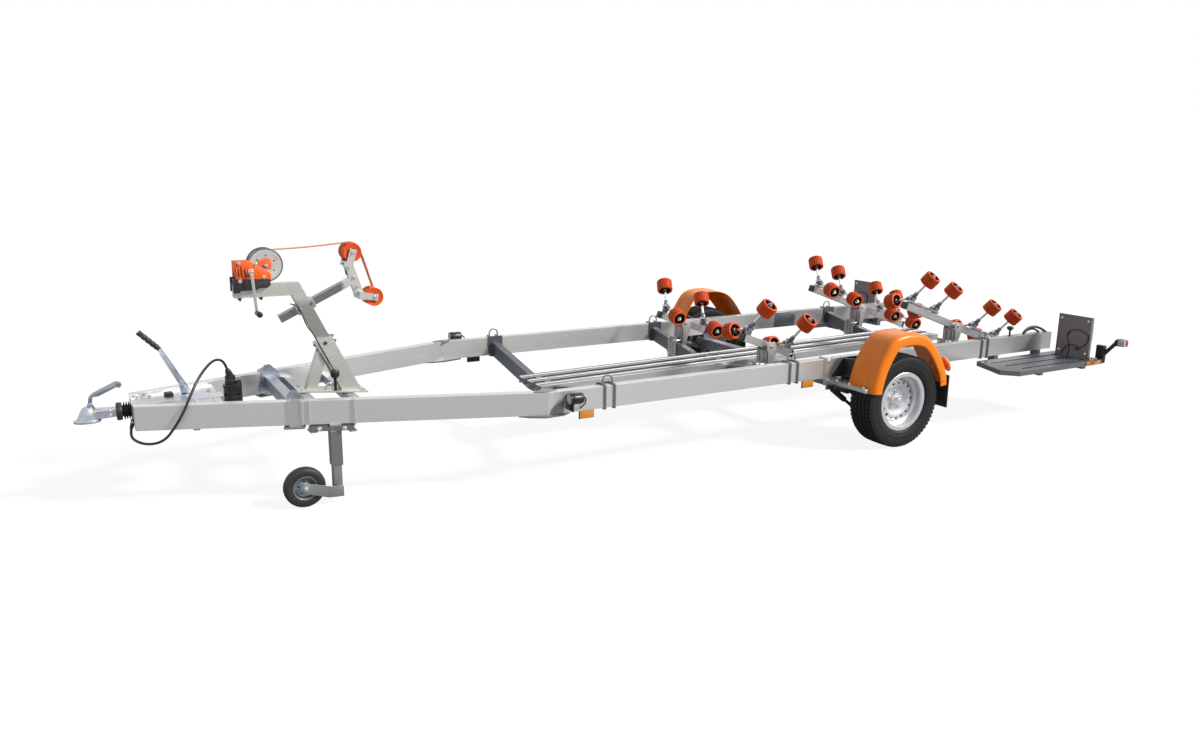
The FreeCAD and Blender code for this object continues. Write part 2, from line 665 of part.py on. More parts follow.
def mudguard_brackets():
    """Supports from the rail to each mudguard, and the flap behind the wheel."""
    front_x = AXLE_X + GUARD_FROM_AXLE[0][0] - 6
    arm = box(front_x - 34, front_x - 6, RAIL_OUTER + STRAP, GUARD_INNER_Y + 190, 408, 432)
    clamp = wrap_strap(front_x - 96, RAIL_INNER, RAIL_OUTER)
    plate = box(front_x - 106, front_x - 52, RAIL_OUTER, RAIL_OUTER + STRAP, 404, RAIL_TOP + STRAP)
    foot = box(front_x - 106, front_x - 6, RAIL_OUTER, RAIL_OUTER + STRAP, 404, 436)
    lug = box(front_x - 6, front_x + 2, GUARD_INNER_Y + 4, GUARD_INNER_Y + 190, 402, 430)
    front = joined([arm, clamp, plate, foot, lug])
    gusset = section_prism([
        (RAIL_OUTER, RAIL_Z + 4), (RAIL_OUTER, RAIL_TOP - 4), (RAIL_OUTER + 30, RAIL_TOP - 4),
        (GUARD_INNER_Y + 10, 590), (GUARD_INNER_Y + 10, 560), (RAIL_OUTER + 60, RAIL_Z + 4),
    ], AXLE_X - 247, AXLE_X - 241)
    rear_x = AXLE_X + GUARD_FROM_AXLE[-1][0]
    post = box(rear_x - 60, rear_x - 30, RAIL_OUTER, GUARD_INNER_Y + 60, 470, 494)
    flap = box(rear_x + 4, rear_x + 10, GUARD_INNER_Y + 4, GUARD_OUTER_Y - 6, FLAP_LOW, 460)
    pieces = [front, gusset, post, flap]
    return Part.makeCompound(pieces + [mirrored(piece) for piece in pieces])


def roller_post(cross_x):
    """Folded channel behind the crossmember, clamped round it, holding the rocker's pin."""
    x = cross_x + CROSS_WIDTH / 2
    pivot_x = cross_x + ROCKER_SETBACK
    y0, y1 = ROCKER_Y - POST_WIDTH / 2, ROCKER_Y + POST_WIDTH / 2
    base = cross_top(ROCKER_Y) - CROSS_HEIGHT - 36
    web = box(x, x + POST_SHEET, y0, y1, base, ROCKER_Z - 60)
    cheek = [
        (x, base), (x, ROCKER_Z + 18), (x + 18, ROCKER_Z + 34), (x + 74, ROCKER_Z + 20),
        (x + 88, ROCKER_Z - 24), (x + 44, ROCKER_Z - 130), (x + 44, base),
    ]
    cheeks = [side_prism(cheek, y0, y0 + POST_SHEET), side_prism(cheek, y1 - POST_SHEET, y1)]
    ahead = cross_x - CROSS_WIDTH / 2
    front = box(ahead - 8, ahead, y0, y1, base, cross_top(ROCKER_Y) + 36)
    pin = rod(V(pivot_x, y0, ROCKER_Z), V(pivot_x, y1, ROCKER_Z), PIVOT_RADIUS)
    pieces = [web, front, pin] + cheeks
    for y in (y0 + 18, y1 - 18):
        for z in (cross_top(y) + 14, cross_top(y) - CROSS_HEIGHT - 14):
            pieces.append(rod(V(ahead - 8, y, z), V(x + POST_SHEET, y, z), 6))
    return joined(pieces)


def roller_posts():
    posts = []
    for cross_x in CROSS_XS[1:]:
        post = roller_post(cross_x)
        posts += [post, mirrored(post)]
    return Part.makeCompound(posts)


def rocker_axes():
    """Directions along the tilted beam and square to it."""
    along = V(math.cos(TILT), 0, -math.sin(TILT))
    upward = V(math.sin(TILT), 0, math.cos(TILT))
    return along, upward


def fork_centre(cross_x, side, offset):
    along, upward = rocker_axes()
    pivot = V(cross_x + ROCKER_SETBACK, side * ROCKER_Y, ROCKER_Z)
    return pivot + along * offset + upward * FORK_RISE


def fork_rods(side):
    """Outward direction of each of a fork's two rods: outer, then inner."""
    along, upward = rocker_axes()
    outer, inner = math.radians(OUTER_FORK_ANGLE), math.radians(INNER_FORK_ANGLE)
    return (
        V(0, side * math.cos(outer), 0) + upward * math.sin(outer),
        V(0, -side * math.cos(inner), 0) + upward * math.sin(inner),
    )


def rocker(cross_x, side, length, forks):
    """Hollow rocking beam with its pivot tube, saddles and forks."""
    along, upward = rocker_axes()
    y = side * ROCKER_Y
    pivot = V(cross_x + ROCKER_SETBACK, y, ROCKER_Z)
    front, back = pivot - along * (length / 2), pivot + along * (length / 2)
    half = ROCKER_WIDTH / 2
    beam = leaning_bar((front.x, front.z), (back.x, back.z), ROCKER_DEPTH, y - half, y + half)
    front, back = front - along, back + along
    hollow = leaning_bar(
        (front.x, front.z), (back.x, back.z), ROCKER_DEPTH - 2 * ROCKER_WALL,
        y - half + ROCKER_WALL, y + half - ROCKER_WALL,
    )
    bush = POST_WIDTH / 2 - POST_SHEET - 6
    pieces = [
        beam.cut(hollow),
        rod(V(pivot.x, y - bush, pivot.z), V(pivot.x, y + bush, pivot.z), PIVOT_RADIUS + 7),
    ]
    if len(forks) == 4:
        for centre in (sum(forks[:2]) / 2, sum(forks[2:]) / 2):
            pieces.append(saddle(pivot + along * centre, forks[3] - forks[2]))
    for offset in forks:
        pieces.append(fork(cross_x, side, offset))
    pin = rod(V(pivot.x, y - bush - 1, pivot.z), V(pivot.x, y + bush + 1, pivot.z),
              PIVOT_RADIUS + ROLLER_CLEARANCE)
    return joined(pieces).cut(pin)


def saddle(centre, pitch):
    """Flat bar that carries two forks above a long rocking beam."""
    along, upward = rocker_axes()
    low, high = centre + upward * (ROCKER_DEPTH / 2 - 4), centre + upward * (ROCKER_DEPTH / 2 + 16)
    a, b = high - along * (pitch / 2 + 30), high + along * (pitch / 2 + 30)
    bar = leaning_bar((a.x, a.z), (b.x, b.z), 12, centre.y - 20, centre.y + 20)
    c = low - along * 30
    d = low + along * 30
    foot = leaning_bar((c.x, c.z), (d.x, d.z), 40, centre.y - 14, centre.y + 14)
    return bar.fuse(foot)


def fork(cross_x, side, offset):
    """Stand, swivel tube and the two rods that carry a pair of rollers."""
    along, upward = rocker_axes()
    centre = fork_centre(cross_x, side, offset)
    low = centre - upward * (FORK_RISE - ROCKER_DEPTH / 2 + 2)
    stand = leaning_bar((low.x, low.z), (centre.x, centre.z), 30, centre.y - 16, centre.y + 16)
    pieces = [stand, rod(centre - along * 24, centre + along * 24, 16)]
    reach = FORK_REACH + HULL_ROLLER_LENGTH / 2 + 6
    for direction in fork_rods(side):
        pieces.append(rod(centre, centre + direction * reach, FORK_ROD_RADIUS))
    return joined(pieces)


def ribbed_blank():
    """Disc along Z as long as a roller, with V grooves that leave its lengthwise ribs."""
    points = []
    pitch = 2 * math.pi / ROLLER_RIBS
    for index in range(ROLLER_RIBS):
        groove = ((1 + ROLLER_CREST_SHARE) / 2, ROLLER_RIB_HEIGHT)
        for share, drop in ((0, 0), (ROLLER_CREST_SHARE, 0), groove):
            angle = (index + share) * pitch
            reach = HULL_ROLLER_RADIUS - drop
            points.append((reach * math.cos(angle), reach * math.sin(angle)))
    return plan_prism(points, -HULL_ROLLER_LENGTH / 2, HULL_ROLLER_LENGTH / 2)


def hull_roller(centre, direction):
    """Ribbed polyurethane tyre on a web and hub, free to turn on its fork's rod."""
    half = HULL_ROLLER_LENGTH / 2
    bore = FORK_ROD_RADIUS + ROLLER_CLEARANCE
    radius = HULL_ROLLER_RADIUS
    tread = radius - ROLLER_TREAD
    profile = [
        (bore, -half), (ROLLER_HUB_RADIUS, -half), (ROLLER_HUB_RADIUS, -6), (tread, -6),
        (tread, -half), (radius + 5, -half), (radius + 5, half), (tread, half), (tread, 6),
        (ROLLER_HUB_RADIUS, 6), (ROLLER_HUB_RADIUS, half), (bore, half),
    ]
    roller = turned(profile, V(0, 0, 0), UP).common(ribbed_blank())
    roller = roller.Solids[0]
    roller.Placement = FreeCAD.Placement(centre + direction * FORK_REACH, FreeCAD.Rotation(UP, direction))
    return roller


def post_point(drop, across=0.0):
    """Point on the winch post's axis, drop below its top, shifted square to it."""
    x = DRAWBAR_X + POST_TOP_X_FROM_DRAWBAR + drop * math.sin(LEAN) + across * math.cos(LEAN)
    z = POST_TOP_Z - drop * math.cos(LEAN) + across * math.sin(LEAN)
    return x, z


def winch_post():
    """Leaning square post with a mitred arm for the winch, on a braced sloping base plate."""
    half = POST_TUBE / 2
    foot = (POST_TOP_Z - RAIL_Z) / math.cos(LEAN)
    arm_front = DRAWBAR_X + POST_TOP_X_FROM_DRAWBAR - ARM_REACH
    top_x, top_z = post_point(0)
    corner = half * math.tan((math.pi / 2 - LEAN) / 2)
    post = leaning_bar(post_point(-corner), post_point(foot), POST_TUBE, -half, half)
    arm = box(arm_front, top_x + corner, -half, half, top_z - half, top_z + half)
    along_post = (math.sin(LEAN), -math.cos(LEAN))
    split = ((top_x + corner, top_z + half), (top_x - corner, top_z - half))
    reach = 1400
    ahead = side_prism([
        split[0], (split[0][0] - reach, split[0][1]), (split[0][0] - reach, split[1][1] - 1),
        (split[1][0], split[1][1] - 1), split[1],
    ], -half, half)
    behind = side_prism([
        split[0], (split[0][0] + reach * along_post[0], split[0][1] + reach * along_post[1]),
        (split[1][0] + reach * along_post[0] - 1, split[1][1] + reach * along_post[1]), split[1],
    ], -half, half)
    lower = leaning_bar(post_point(330, -6), post_point(foot, -6), POST_TUBE + 32, -half - 4, half + 4)
    start, end = [DRAWBAR_X + offset for offset in BASE_PLATE_SPAN]
    brace = leaning_bar(post_point(330, 24), (start + 82, base_bottom(start + 82)), 60, -half + 8, half - 8)
    sleeve_at = post_point(BOW_SLEEVE_DROP)
    sleeve_half = BOW_ARM_SIDE / 2 + 8
    along = (math.cos(LEAN), math.sin(LEAN))
    a = (sleeve_at[0] - 52 * along[0], sleeve_at[1] - 52 * along[1])
    b = (sleeve_at[0] + 52 * along[0], sleeve_at[1] + 52 * along[1])
    sleeve = leaning_bar(a, b, 2 * sleeve_half, -sleeve_half, sleeve_half)
    bore = leaning_bar(
        (sleeve_at[0] - 90 * along[0], sleeve_at[1] - 90 * along[1]),
        (sleeve_at[0] + 90 * along[0], sleeve_at[1] + 90 * along[1]),
        BOW_ARM_SIDE, -BOW_ARM_SIDE / 2, BOW_ARM_SIDE / 2,
    )
    plate = side_prism([
        (start, base_bottom(start)), (end, base_bottom(end)),
        (end, base_bottom(end) + BASE_PLATE), (start, base_bottom(start) + BASE_PLATE),
    ], -75, 75)
    below = side_prism([
        (start - 200, base_bottom(start - 200)), (end + 200, base_bottom(end + 200)),
        (end + 200, 0), (start - 200, 0),
    ], -200, 200)
    return joined([
        post.common(behind), arm.common(ahead), lower, brace, sleeve, plate,
    ]).cut(bore).cut(below)


def bow_arm():
    """Square arm through the post's sleeve, with the flat-bar bracket for the bow rollers."""
    cx, cz = post_point(BOW_SLEEVE_DROP)
    front = (cx - BOW_ARM_FRONT * math.cos(LEAN), cz - BOW_ARM_FRONT * math.sin(LEAN))
    rear = (cx + BOW_ARM_REAR * math.cos(LEAN), cz + BOW_ARM_REAR * math.sin(LEAN))
    half = BOW_ARM_SIDE / 2
    arm = leaning_bar(front, rear, BOW_ARM_SIDE, -half, half)
    spine_top = (DRAWBAR_X + BOW_SPINE_TOP[0], BOW_SPINE_TOP[1])
    spine_low = (DRAWBAR_X + BOW_SPINE_LOW[0], BOW_SPINE_LOW[1])
    spine = leaning_bar(spine_top, spine_low, BOW_SPINE_DEPTH, -half, half)
    upper = (DRAWBAR_X + BOW_UPPER[0], BOW_UPPER[1])
    lower = (DRAWBAR_X + BOW_LOWER[0], BOW_LOWER[1])
    reach = BOW_ROLLER_LENGTH / 2 + 4
    pieces = [arm, spine]
    for (axle_x, axle_z), root in ((upper, spine_top), (lower, spine_low)):
        direction = V(axle_x - root[0], 0, axle_z - root[1]).normalize()
        gap = V(axle_x, 0, axle_z) - direction * (BOW_ROLLER_RADIUS + 6)
        behind = gap - direction * 30
        pieces.append(leaning_bar((behind.x, behind.z), (gap.x, gap.z), 44, -reach - 6, reach + 6))
        for side in (-1, 1):
            y0, y1 = sorted((side * reach, side * (reach + 6)))
            tip = V(axle_x, 0, axle_z) + direction * 20
            pieces.append(leaning_bar((behind.x, behind.z), (tip.x, tip.z), 40, y0, y1))
        pieces.append(rod(V(axle_x, -reach - 10, axle_z), V(axle_x, reach + 10, axle_z), 8))
    return joined(pieces)


def bow_rollers():
    rollers = []
    half = BOW_ROLLER_LENGTH / 2
    for reach, z in (BOW_UPPER, BOW_LOWER):
        profile = [
            (8.4, -half), (BOW_ROLLER_RADIUS, -half), (BOW_ROLLER_RADIUS, -half + 20),
            (BOW_ROLLER_RADIUS - 8, -14), (BOW_ROLLER_RADIUS - 8, 14),
            (BOW_ROLLER_RADIUS, half - 20), (BOW_ROLLER_RADIUS, half), (8.4, half),
        ]
        rollers.append(turned(profile, V(DRAWBAR_X + reach, 0, z), ACROSS))
    return Part.makeCompound(rollers)


def winch_frame():
    """Cradle bolted on the arm, with the gear housing on the left."""
    x = DRAWBAR_X + DRUM_FROM_DRAWBAR
    floor = POST_TOP_Z + POST_TUBE / 2
    y = DRUM_WIDTH / 2 + 6
    base = box(x - 180, x + 20, -y - 6, y + 6, floor, floor + 6)
    cheeks = [
        box(x - 180, x + 18, -y - 6, -y, floor - 40, floor + 40),
        box(x - 180, x + 18, y, y + 6, floor - 40, floor + 40),
    ]
    outline = [
        (x - 166, floor + 6), (x + 20, floor + 6), (x + 18, DRUM_Z + 30), (x - 60, DRUM_Z + 40),
        (x - 166, DRUM_Z + 26),
    ]
    housing = [side_prism(outline, -y - 30, -y), side_prism(outline, y, y + 6)]
    bolt = rod(V(x, -y, DRUM_Z), V(x, y, DRUM_Z), 9)
    return Part.makeCompound([joined([base, bolt] + cheeks + housing), winch_drum()])


def winch_drum():
    half = DRUM_WIDTH / 2
    profile = [
        (9.4, -half), (DRUM_FLANGE_RADIUS, -half), (DRUM_FLANGE_RADIUS, -half + 3),
        (24, -half + 3), (24, half - 3), (DRUM_FLANGE_RADIUS, half - 3),
        (DRUM_FLANGE_RADIUS, half), (9.4, half),
    ]
    return turned(profile, V(DRAWBAR_X + DRUM_FROM_DRAWBAR, 0, DRUM_Z), ACROSS)


def winch_crank():
    x = DRAWBAR_X + DRUM_FROM_DRAWBAR - 87
    y = -DRUM_WIDTH / 2 - 36
    shaft = rod(V(x, y, 1244), V(x, y - 30, 1244), 10)
    arm = box(x - 9, x + 9, y - 30, y - 24, 1012, 1256)
    grip = rod(V(x, y - 24, 1020), V(x, y - 120, 1020), 14)
    return joined([shaft, arm, grip])


def winch_strap():
    """Webbing wound on the drum, over the upper bow roller and down to the lower."""
    x = DRAWBAR_X + DRUM_FROM_DRAWBAR
    half = 25.0
    roll = turned([
        (24.5, -half), (DRUM_CORE_RADIUS, -half), (DRUM_CORE_RADIUS, half), (24.5, half),
    ], V(x, 0, DRUM_Z), ACROSS)
    upper = V(DRAWBAR_X + BOW_UPPER[0], 0, BOW_UPPER[1])
    top = upper + V(-6, 0, BOW_ROLLER_RADIUS + STRAP_THICKNESS / 2 + 0.3)
    start = V(x + 4, 0, DRUM_Z + DRUM_CORE_RADIUS - STRAP_THICKNESS)
    run = leaning_bar((start.x, start.z), (top.x, top.z), STRAP_THICKNESS, -half, half)
    return roll.fuse(run)


def overrun_housing():
    """Overrun device between the drawbars, with its mounting plates."""
    end = DRAWBAR_X + HOUSING_RUN
    half = OVERRUN_WIDTH / 2
    body = box(DRAWBAR_X - 2, end, -half, half, RAIL_Z + 8, RAIL_TOP - 18)
    flange = between_drawbars(DRAWBAR_X + 4, end - 20, RAIL_TOP - 30, RAIL_TOP - 22)
    shaft = rod(V(DRAWBAR_X - 40, 0, COUPLING_Z), V(DRAWBAR_X + 60, 0, COUPLING_Z), 26)
    lead_start, lead_next = V(*LEAD_ROUTE[0]), V(*LEAD_ROUTE[1])
    heading = (lead_next - lead_start).normalize()
    gland = rod(lead_start - heading * 30, lead_start, LEAD_RADIUS + 5)
    return joined([body, flange, shaft, gland])


def ellipse_wire(x, long_half, short_half, z):
    """Level ellipse on the centre line, its longer half lying along X."""
    return Part.Wire(Part.Ellipse(V(x, 0, z), long_half, short_half).toShape())


def ellipse_prism(x, long_half, short_half, z0, z1):
    return Part.Face(ellipse_wire(x, long_half, short_half, z0)).extrude(V(0, 0, z1 - z0))


def round_section(x, half, z0, z1, radius):
    """Upright rectangle across X with rounded corners, as a wire."""
    diagonal = radius * math.sqrt(0.5)
    edges, last = [], None
    for y, z, turn in ((half, z1, 1), (-half, z1, 2), (-half, z0, 3), (half, z0, 4)):
        sy, sz = math.copysign(1, y), 1 if z == z1 else -1
        hub = V(x, y - sy * radius, z - sz * radius)
        ends = [hub + V(0, 0, sz * radius), hub + V(0, sy * radius, 0)]
        start, end = (ends[1], ends[0]) if turn % 2 else (ends[0], ends[1])
        crest = hub + V(0, sy * diagonal, sz * diagonal)
        if last is not None:
            edges.append(Part.makeLine(last, start))
        else:
            opening = start
        edges.append(Part.Arc(start, crest, end).toShape())
        last = end
    edges.append(Part.makeLine(last, opening))
    return Part.Wire(edges)


def coupling_head():
    """Ball coupling: cast head over the ball, with its lifting handle."""
    centre = V(NOSE_X + COUPLING_HEAD_REACH, 0, COUPLING_Z - 8)
    lip = ellipse_prism(centre.x, COUPLING_HEAD_REACH, 45, COUPLING_Z - 42, COUPLING_Z - 30)
    head = Part.makeLoft([
        ellipse_wire(centre.x + shift, long_half, short_half, COUPLING_Z + rise)
        for shift, long_half, short_half, rise in COUPLING_SECTIONS
    ], True, False)
    neck = Part.makeLoft([
        round_section(NOSE_X + reach, half, COUPLING_Z + low, COUPLING_Z + high, NECK_ROUND)
        for reach, half, low, high in NECK_SECTIONS
    ], True, False)
    handle = leaning_bar((NOSE_X + 86, 545), (NOSE_X + 96, 610), 22, -12, 12)
    lever = leaning_bar((NOSE_X + 92, 600), (NOSE_X + 236, 672), 22, -14, 14)
    cup = rod(centre - V(0, 0, 60), centre, BALL_RADIUS).fuse(Part.makeSphere(BALL_RADIUS, centre))
    return joined([lip, head, neck, handle, lever]).cut(cup)


def gaiter():
    """Bellows over the drawbar shaft between the coupling and the housing."""
    start, end = NOSE_X + 205, DRAWBAR_X - 2
    folds = 4
    pitch = (end - start) / folds
    profile = [(27, 0)]
    for index in range(folds):
        profile += [(36, index * pitch), (50, (index + 0.5) * pitch)]
    profile += [(36, folds * pitch), (27, folds * pitch)]
    return turned(profile, V(start, 0, COUPLING_Z), V(1, 0, 0))


def handbrake_lever():
    """Tapered pressed blade, cranked at the grip, on a foot that stands on the housing."""
    y = -16.0
    pivot = (DRAWBAR_X + LEVER_PIVOT[0], LEVER_PIVOT[1])
    knee = (DRAWBAR_X + LEVER_KNEE[0], LEVER_KNEE[1])
    tip = (DRAWBAR_X + LEVER_TIP[0], LEVER_TIP[1])
    blade = side_prism([
        (pivot[0] - 24, pivot[1] - 10), (pivot[0] + 24, pivot[1] - 2),
        (knee[0] + 11, knee[1] + 4), (knee[0] - 9, knee[1] - 6),
    ], y - 5, y + 5)
    grip = rod(V(knee[0], y, knee[1]), V(tip[0], y, tip[1]), 15)
    foot = box(pivot[0] - 34, pivot[0] + 34, y - 14, y + 14, RAIL_TOP - 18, RAIL_TOP + 4)
    return joined([blade, grip, foot])


def holder_point(z):
    """Point on the parking socket's axis at height z."""
    return V(DRAWBAR_X + HOLDER_FROM_DRAWBAR, 0, z)


def plug_holder():
    """Parking socket for the lead's plug, open at the top, with its hinged lid at the back."""
    body = rod(holder_point(RAIL_TOP - 66), holder_point(HOLDER_TOP), HOLDER_RADIUS)
    bracket = box(
        DRAWBAR_X + HOUSING_RUN, DRAWBAR_X + HOLDER_FROM_DRAWBAR + 56, -34, 34, RAIL_TOP - 78, RAIL_TOP - 30,
    )
    back = DRAWBAR_X + HOLDER_FROM_DRAWBAR + HOLDER_RADIUS
    lid = box(back - 10, back + 12, -24, 24, RAIL_TOP - 30, HOLDER_TOP + 26)
    bore = rod(holder_point(RAIL_TOP), holder_point(HOLDER_TOP + 40), PLUG_RADIUS + 0.5)
    return joined([body, bracket, lid]).cut(bore)


def plug():
    """Round plug standing in the socket, its cable boot leaning towards the lead."""
    base = holder_point(RAIL_TOP + 0.3)
    profile = [
        (0, 0), (PLUG_RADIUS, 0), (PLUG_RADIUS, 58), (PLUG_RADIUS - 5, 64),
        (PLUG_RADIUS - 5, PLUG_BODY_TOP - base.z + 6), (0, PLUG_BODY_TOP - base.z + 6),
    ]
    neck = holder_point(PLUG_BODY_TOP)
    lean = V(*PLUG_LEAN)
    boot = [(0, -14), (20, -14), (20, 10), (13, PLUG_BOOT - 0.3), (0, PLUG_BOOT - 0.3)]
    return joined([turned(profile, base, UP), turned(boot, neck, lean)])


def tangent_tube(route, radius):
    """Tube along straight runs joined by arcs, as large as the runs allow."""
    points = [V(*point) for point in route]
    edges = []
    start = points[0]
    radii = []
    for before, corner, after in zip(points, points[1:], points[2:]):
        back, ahead = (before - corner), (after - corner)
        shorter = min(back.Length, ahead.Length)
        back.normalize()
        ahead.normalize()
        turn = math.pi - back.getAngle(ahead)
        cut = 0.45 * shorter
        bend = cut / math.tan(turn / 2)
        radii.append(round(bend, 1))
        entry, leave = corner + back * cut, corner + ahead * cut
        middle = (back + ahead).normalize()
        hub = corner + middle * (bend / math.cos(turn / 2))
        crest = hub - middle * bend
        edges.append(Part.LineSegment(start, entry).toShape())
        edges.append(Part.Arc(entry, crest, leave).toShape())
        start = leave
    edges.append(Part.LineSegment(start, points[-1]).toShape())
    wire = Part.Wire(edges)
    first = edges[0]
    heading = first.valueAt(first.LastParameter) - first.valueAt(first.FirstParameter)
    section = Part.Wire([Part.makeCircle(radius, points[0], heading)])
    tube = wire.makePipeShell([section], True, False)
    print("cord radii", radii)
    print("cord length", round(wire.Length, 1), "volume share",
          round(tube.Volume / (math.pi * radius ** 2 * wire.Length), 4))
    return tube


def side_platform():
    """Slotted step beside the rail, chamfered at its front outer corner."""
    x0, x1 = RAIL_END_X - 870, RAIL_END_X + 70
    z0, z1 = PLATFORM_TOP - PLATFORM_DEPTH, PLATFORM_TOP
    outline = [
        (x0 + 20, RAIL_OUTER + 12), (x0 - 90, PLATFORM_OUTER_Y - 96), (x0, PLATFORM_OUTER_Y),
        (x1, PLATFORM_OUTER_Y), (x1, RAIL_OUTER + 12),
    ]
    tread = plan_prism(outline, z0, z1)
    inset = [
        (x0 + 34, RAIL_OUTER + 18), (x0 - 66, PLATFORM_OUTER_Y - 100), (x0 + 6, PLATFORM_OUTER_Y - 8),
        (x1 - 8, PLATFORM_OUTER_Y - 8), (x1 - 8, RAIL_OUTER + 18),
    ]
    tread = tread.cut(plan_prism(inset, z0 - 1, z1 - 5))
    width = PLATFORM_OUTER_Y - RAIL_OUTER - 12
    for index in range(3):
        y = RAIL_OUTER + 12 + width * (index + 0.75) / 3.4
        start = x0 + 40 + index * 30
        tread = tread.cut(box(start, x1 - 40, y, y + 22, z1 - 6, z1 + 1))
    hangers = []
    for x in (x0 + 250, x1 - 200):
        hangers.append(box(x - 20, x + 20, RAIL_INNER, PLATFORM_OUTER_Y - 8, z0 - 20, z1 - 5))
        hangers.append(box(x - 20, x + 20, RAIL_INNER, RAIL_OUTER, z1 - 5, RAIL_Z))
    return joined([tread] + hangers)


def lamp_board():
    """Upright plate across the platform, flanged at its outer edge."""
    x = RAIL_END_X - BOARD_FROM_RAIL_END
    y0, y1 = BOARD_INNER_Y, BOARD_INNER_Y + BOARD_WIDTH
    plate = box(x, x + BOARD_SHEET, y0, y1, PLATFORM_TOP, PLATFORM_TOP + BOARD_HEIGHT)
    flange = box(x, x + 26, y1 - BOARD_SHEET, y1, PLATFORM_TOP, PLATFORM_TOP + BOARD_HEIGHT)
    foot = box(x, x + 60, y0, y1, PLATFORM_TOP, PLATFORM_TOP + BOARD_SHEET)
    return joined([plate, flange, foot])


def lamps():
    """Tail lamps, rubber-armed outline lamps, front position lamps and side reflectors."""
    x = RAIL_END_X - BOARD_FROM_RAIL_END + BOARD_SHEET
    y1 = BOARD_INNER_Y + BOARD_WIDTH
    tail = box(x, x + 52, BOARD_INNER_Y + 12, y1 - 12, PLATFORM_TOP + 130, PLATFORM_TOP + 250)
    arm_x = RAIL_END_X + 70
    foot = V(arm_x + 16, PLATFORM_OUTER_Y - 16, PLATFORM_TOP + 22)
    elbow = V(arm_x + 16, PLATFORM_OUTER_Y + 86, PLATFORM_TOP + 146)
    base = box(arm_x, arm_x + 34, PLATFORM_OUTER_Y - 62, PLATFORM_OUTER_Y + 4,
               PLATFORM_TOP - 30, PLATFORM_TOP + 104)
    head = box(TAIL_X - 56, TAIL_X, PLATFORM_OUTER_Y + 76, PLATFORM_OUTER_Y + 156,
               PLATFORM_TOP + 118, PLATFORM_TOP + 172)
    outline_lamp = joined([base, rod(foot, elbow, 15), head])
    fronts = []
    for offset, height, side in FRONT_LAMPS:
        lamp_x, z = BEND_X + offset, RAIL_TOP + height
        bracket = box(lamp_x - 8, lamp_x, RAIL_OUTER, RAIL_OUTER + 84, z - 70, z + 16)
        barrel = rod(V(lamp_x, RAIL_OUTER + 56, z), V(lamp_x + 72, RAIL_OUTER + 56, z), 34)
        front = bracket.fuse(barrel)
        fronts.append(front if side > 0 else mirrored(front))
    reflectors = []
    for centre in (BEND_X + 250, BEND_X + 1915):
        reflectors.append(box(centre - 48, centre + 48, RAIL_OUTER - 8, RAIL_OUTER, RAIL_Z - 48, RAIL_Z))
    side = box(RAIL_END_X - 30, RAIL_END_X + 66, PLATFORM_OUTER_Y, PLATFORM_OUTER_Y + 5,
               PLATFORM_TOP - PLATFORM_DEPTH, PLATFORM_TOP)
    pieces = [tail, outline_lamp, side] + reflectors
    return Part.makeCompound(pieces + [mirrored(piece) for piece in pieces] + fronts)


def jockey_bracket():
    """Channel clamped under the left drawbar, with the square outer tube."""
    x = DRAWBAR_X + JOCKEY_FROM_DRAWBAR
    half = JOCKEY_OUTER / 2
    seat_low = RAIL_Z - STRAP - JOCKEY_SEAT_DEPTH
    straps = [mirrored(on_drawbar(wrap_strap(0, -RAIL_WIDTH, 0), DRAWBAR_X + offset))
              for offset in JOCKEY_STRAPS]
    seat = box(-132, 104, -JOCKEY_SEAT_WIDTH / 2, JOCKEY_SEAT_WIDTH / 2, seat_low, RAIL_Z - STRAP)
    seat.rotate(V(0, 0, 0), UP, -math.degrees(SPLAY))
    seat.translate(V(x, JOCKEY_Y, 0))
    seat = seat.fuse(box(x - half, x + half, JOCKEY_Y - half, JOCKEY_Y + half, seat_low, RAIL_Z))
    tube = box(x - half, x + half, JOCKEY_Y - half, JOCKEY_Y + half, 215, seat_low)
    bore = box(x - JOCKEY_INNER / 2 - JOCKEY_SLIDE_GAP, x + JOCKEY_INNER / 2 + JOCKEY_SLIDE_GAP,
               JOCKEY_Y - JOCKEY_INNER / 2 - JOCKEY_SLIDE_GAP,
               JOCKEY_Y + JOCKEY_INNER / 2 + JOCKEY_SLIDE_GAP, 200, RAIL_Z - 10)
    return joined([seat, tube] + straps).cut(bore)


def jockey_leg():
    """Inner tube and the single-sided arm that carries the wheel."""
    x = DRAWBAR_X + JOCKEY_FROM_DRAWBAR
    half = JOCKEY_INNER / 2
    z = JOCKEY_WHEEL_RADIUS
    wheel_x = x - JOCKEY_WHEEL_LEAD
    near = JOCKEY_Y - half
    tube = box(x - half, x + half, near, JOCKEY_Y + half, 35, RAIL_Z - 150)
    side_y = JOCKEY_Y - JOCKEY_WHEEL_WIDTH / 2 - 6
    arm = side_prism([
        (x + half, 35), (x + half, 84), (x - 40, 100), (wheel_x, z + 24),
        (wheel_x - 22, z), (wheel_x, z - 24), (x - 60, 40),
    ], side_y - 6, side_y)
    step = box(x - half, x + half, side_y, near, 40, 90)
    axle_pin = rod(V(wheel_x, side_y, z), V(wheel_x, JOCKEY_Y + JOCKEY_WHEEL_WIDTH / 2 + 6, z), 8)
    return joined([tube, arm, step, axle_pin])


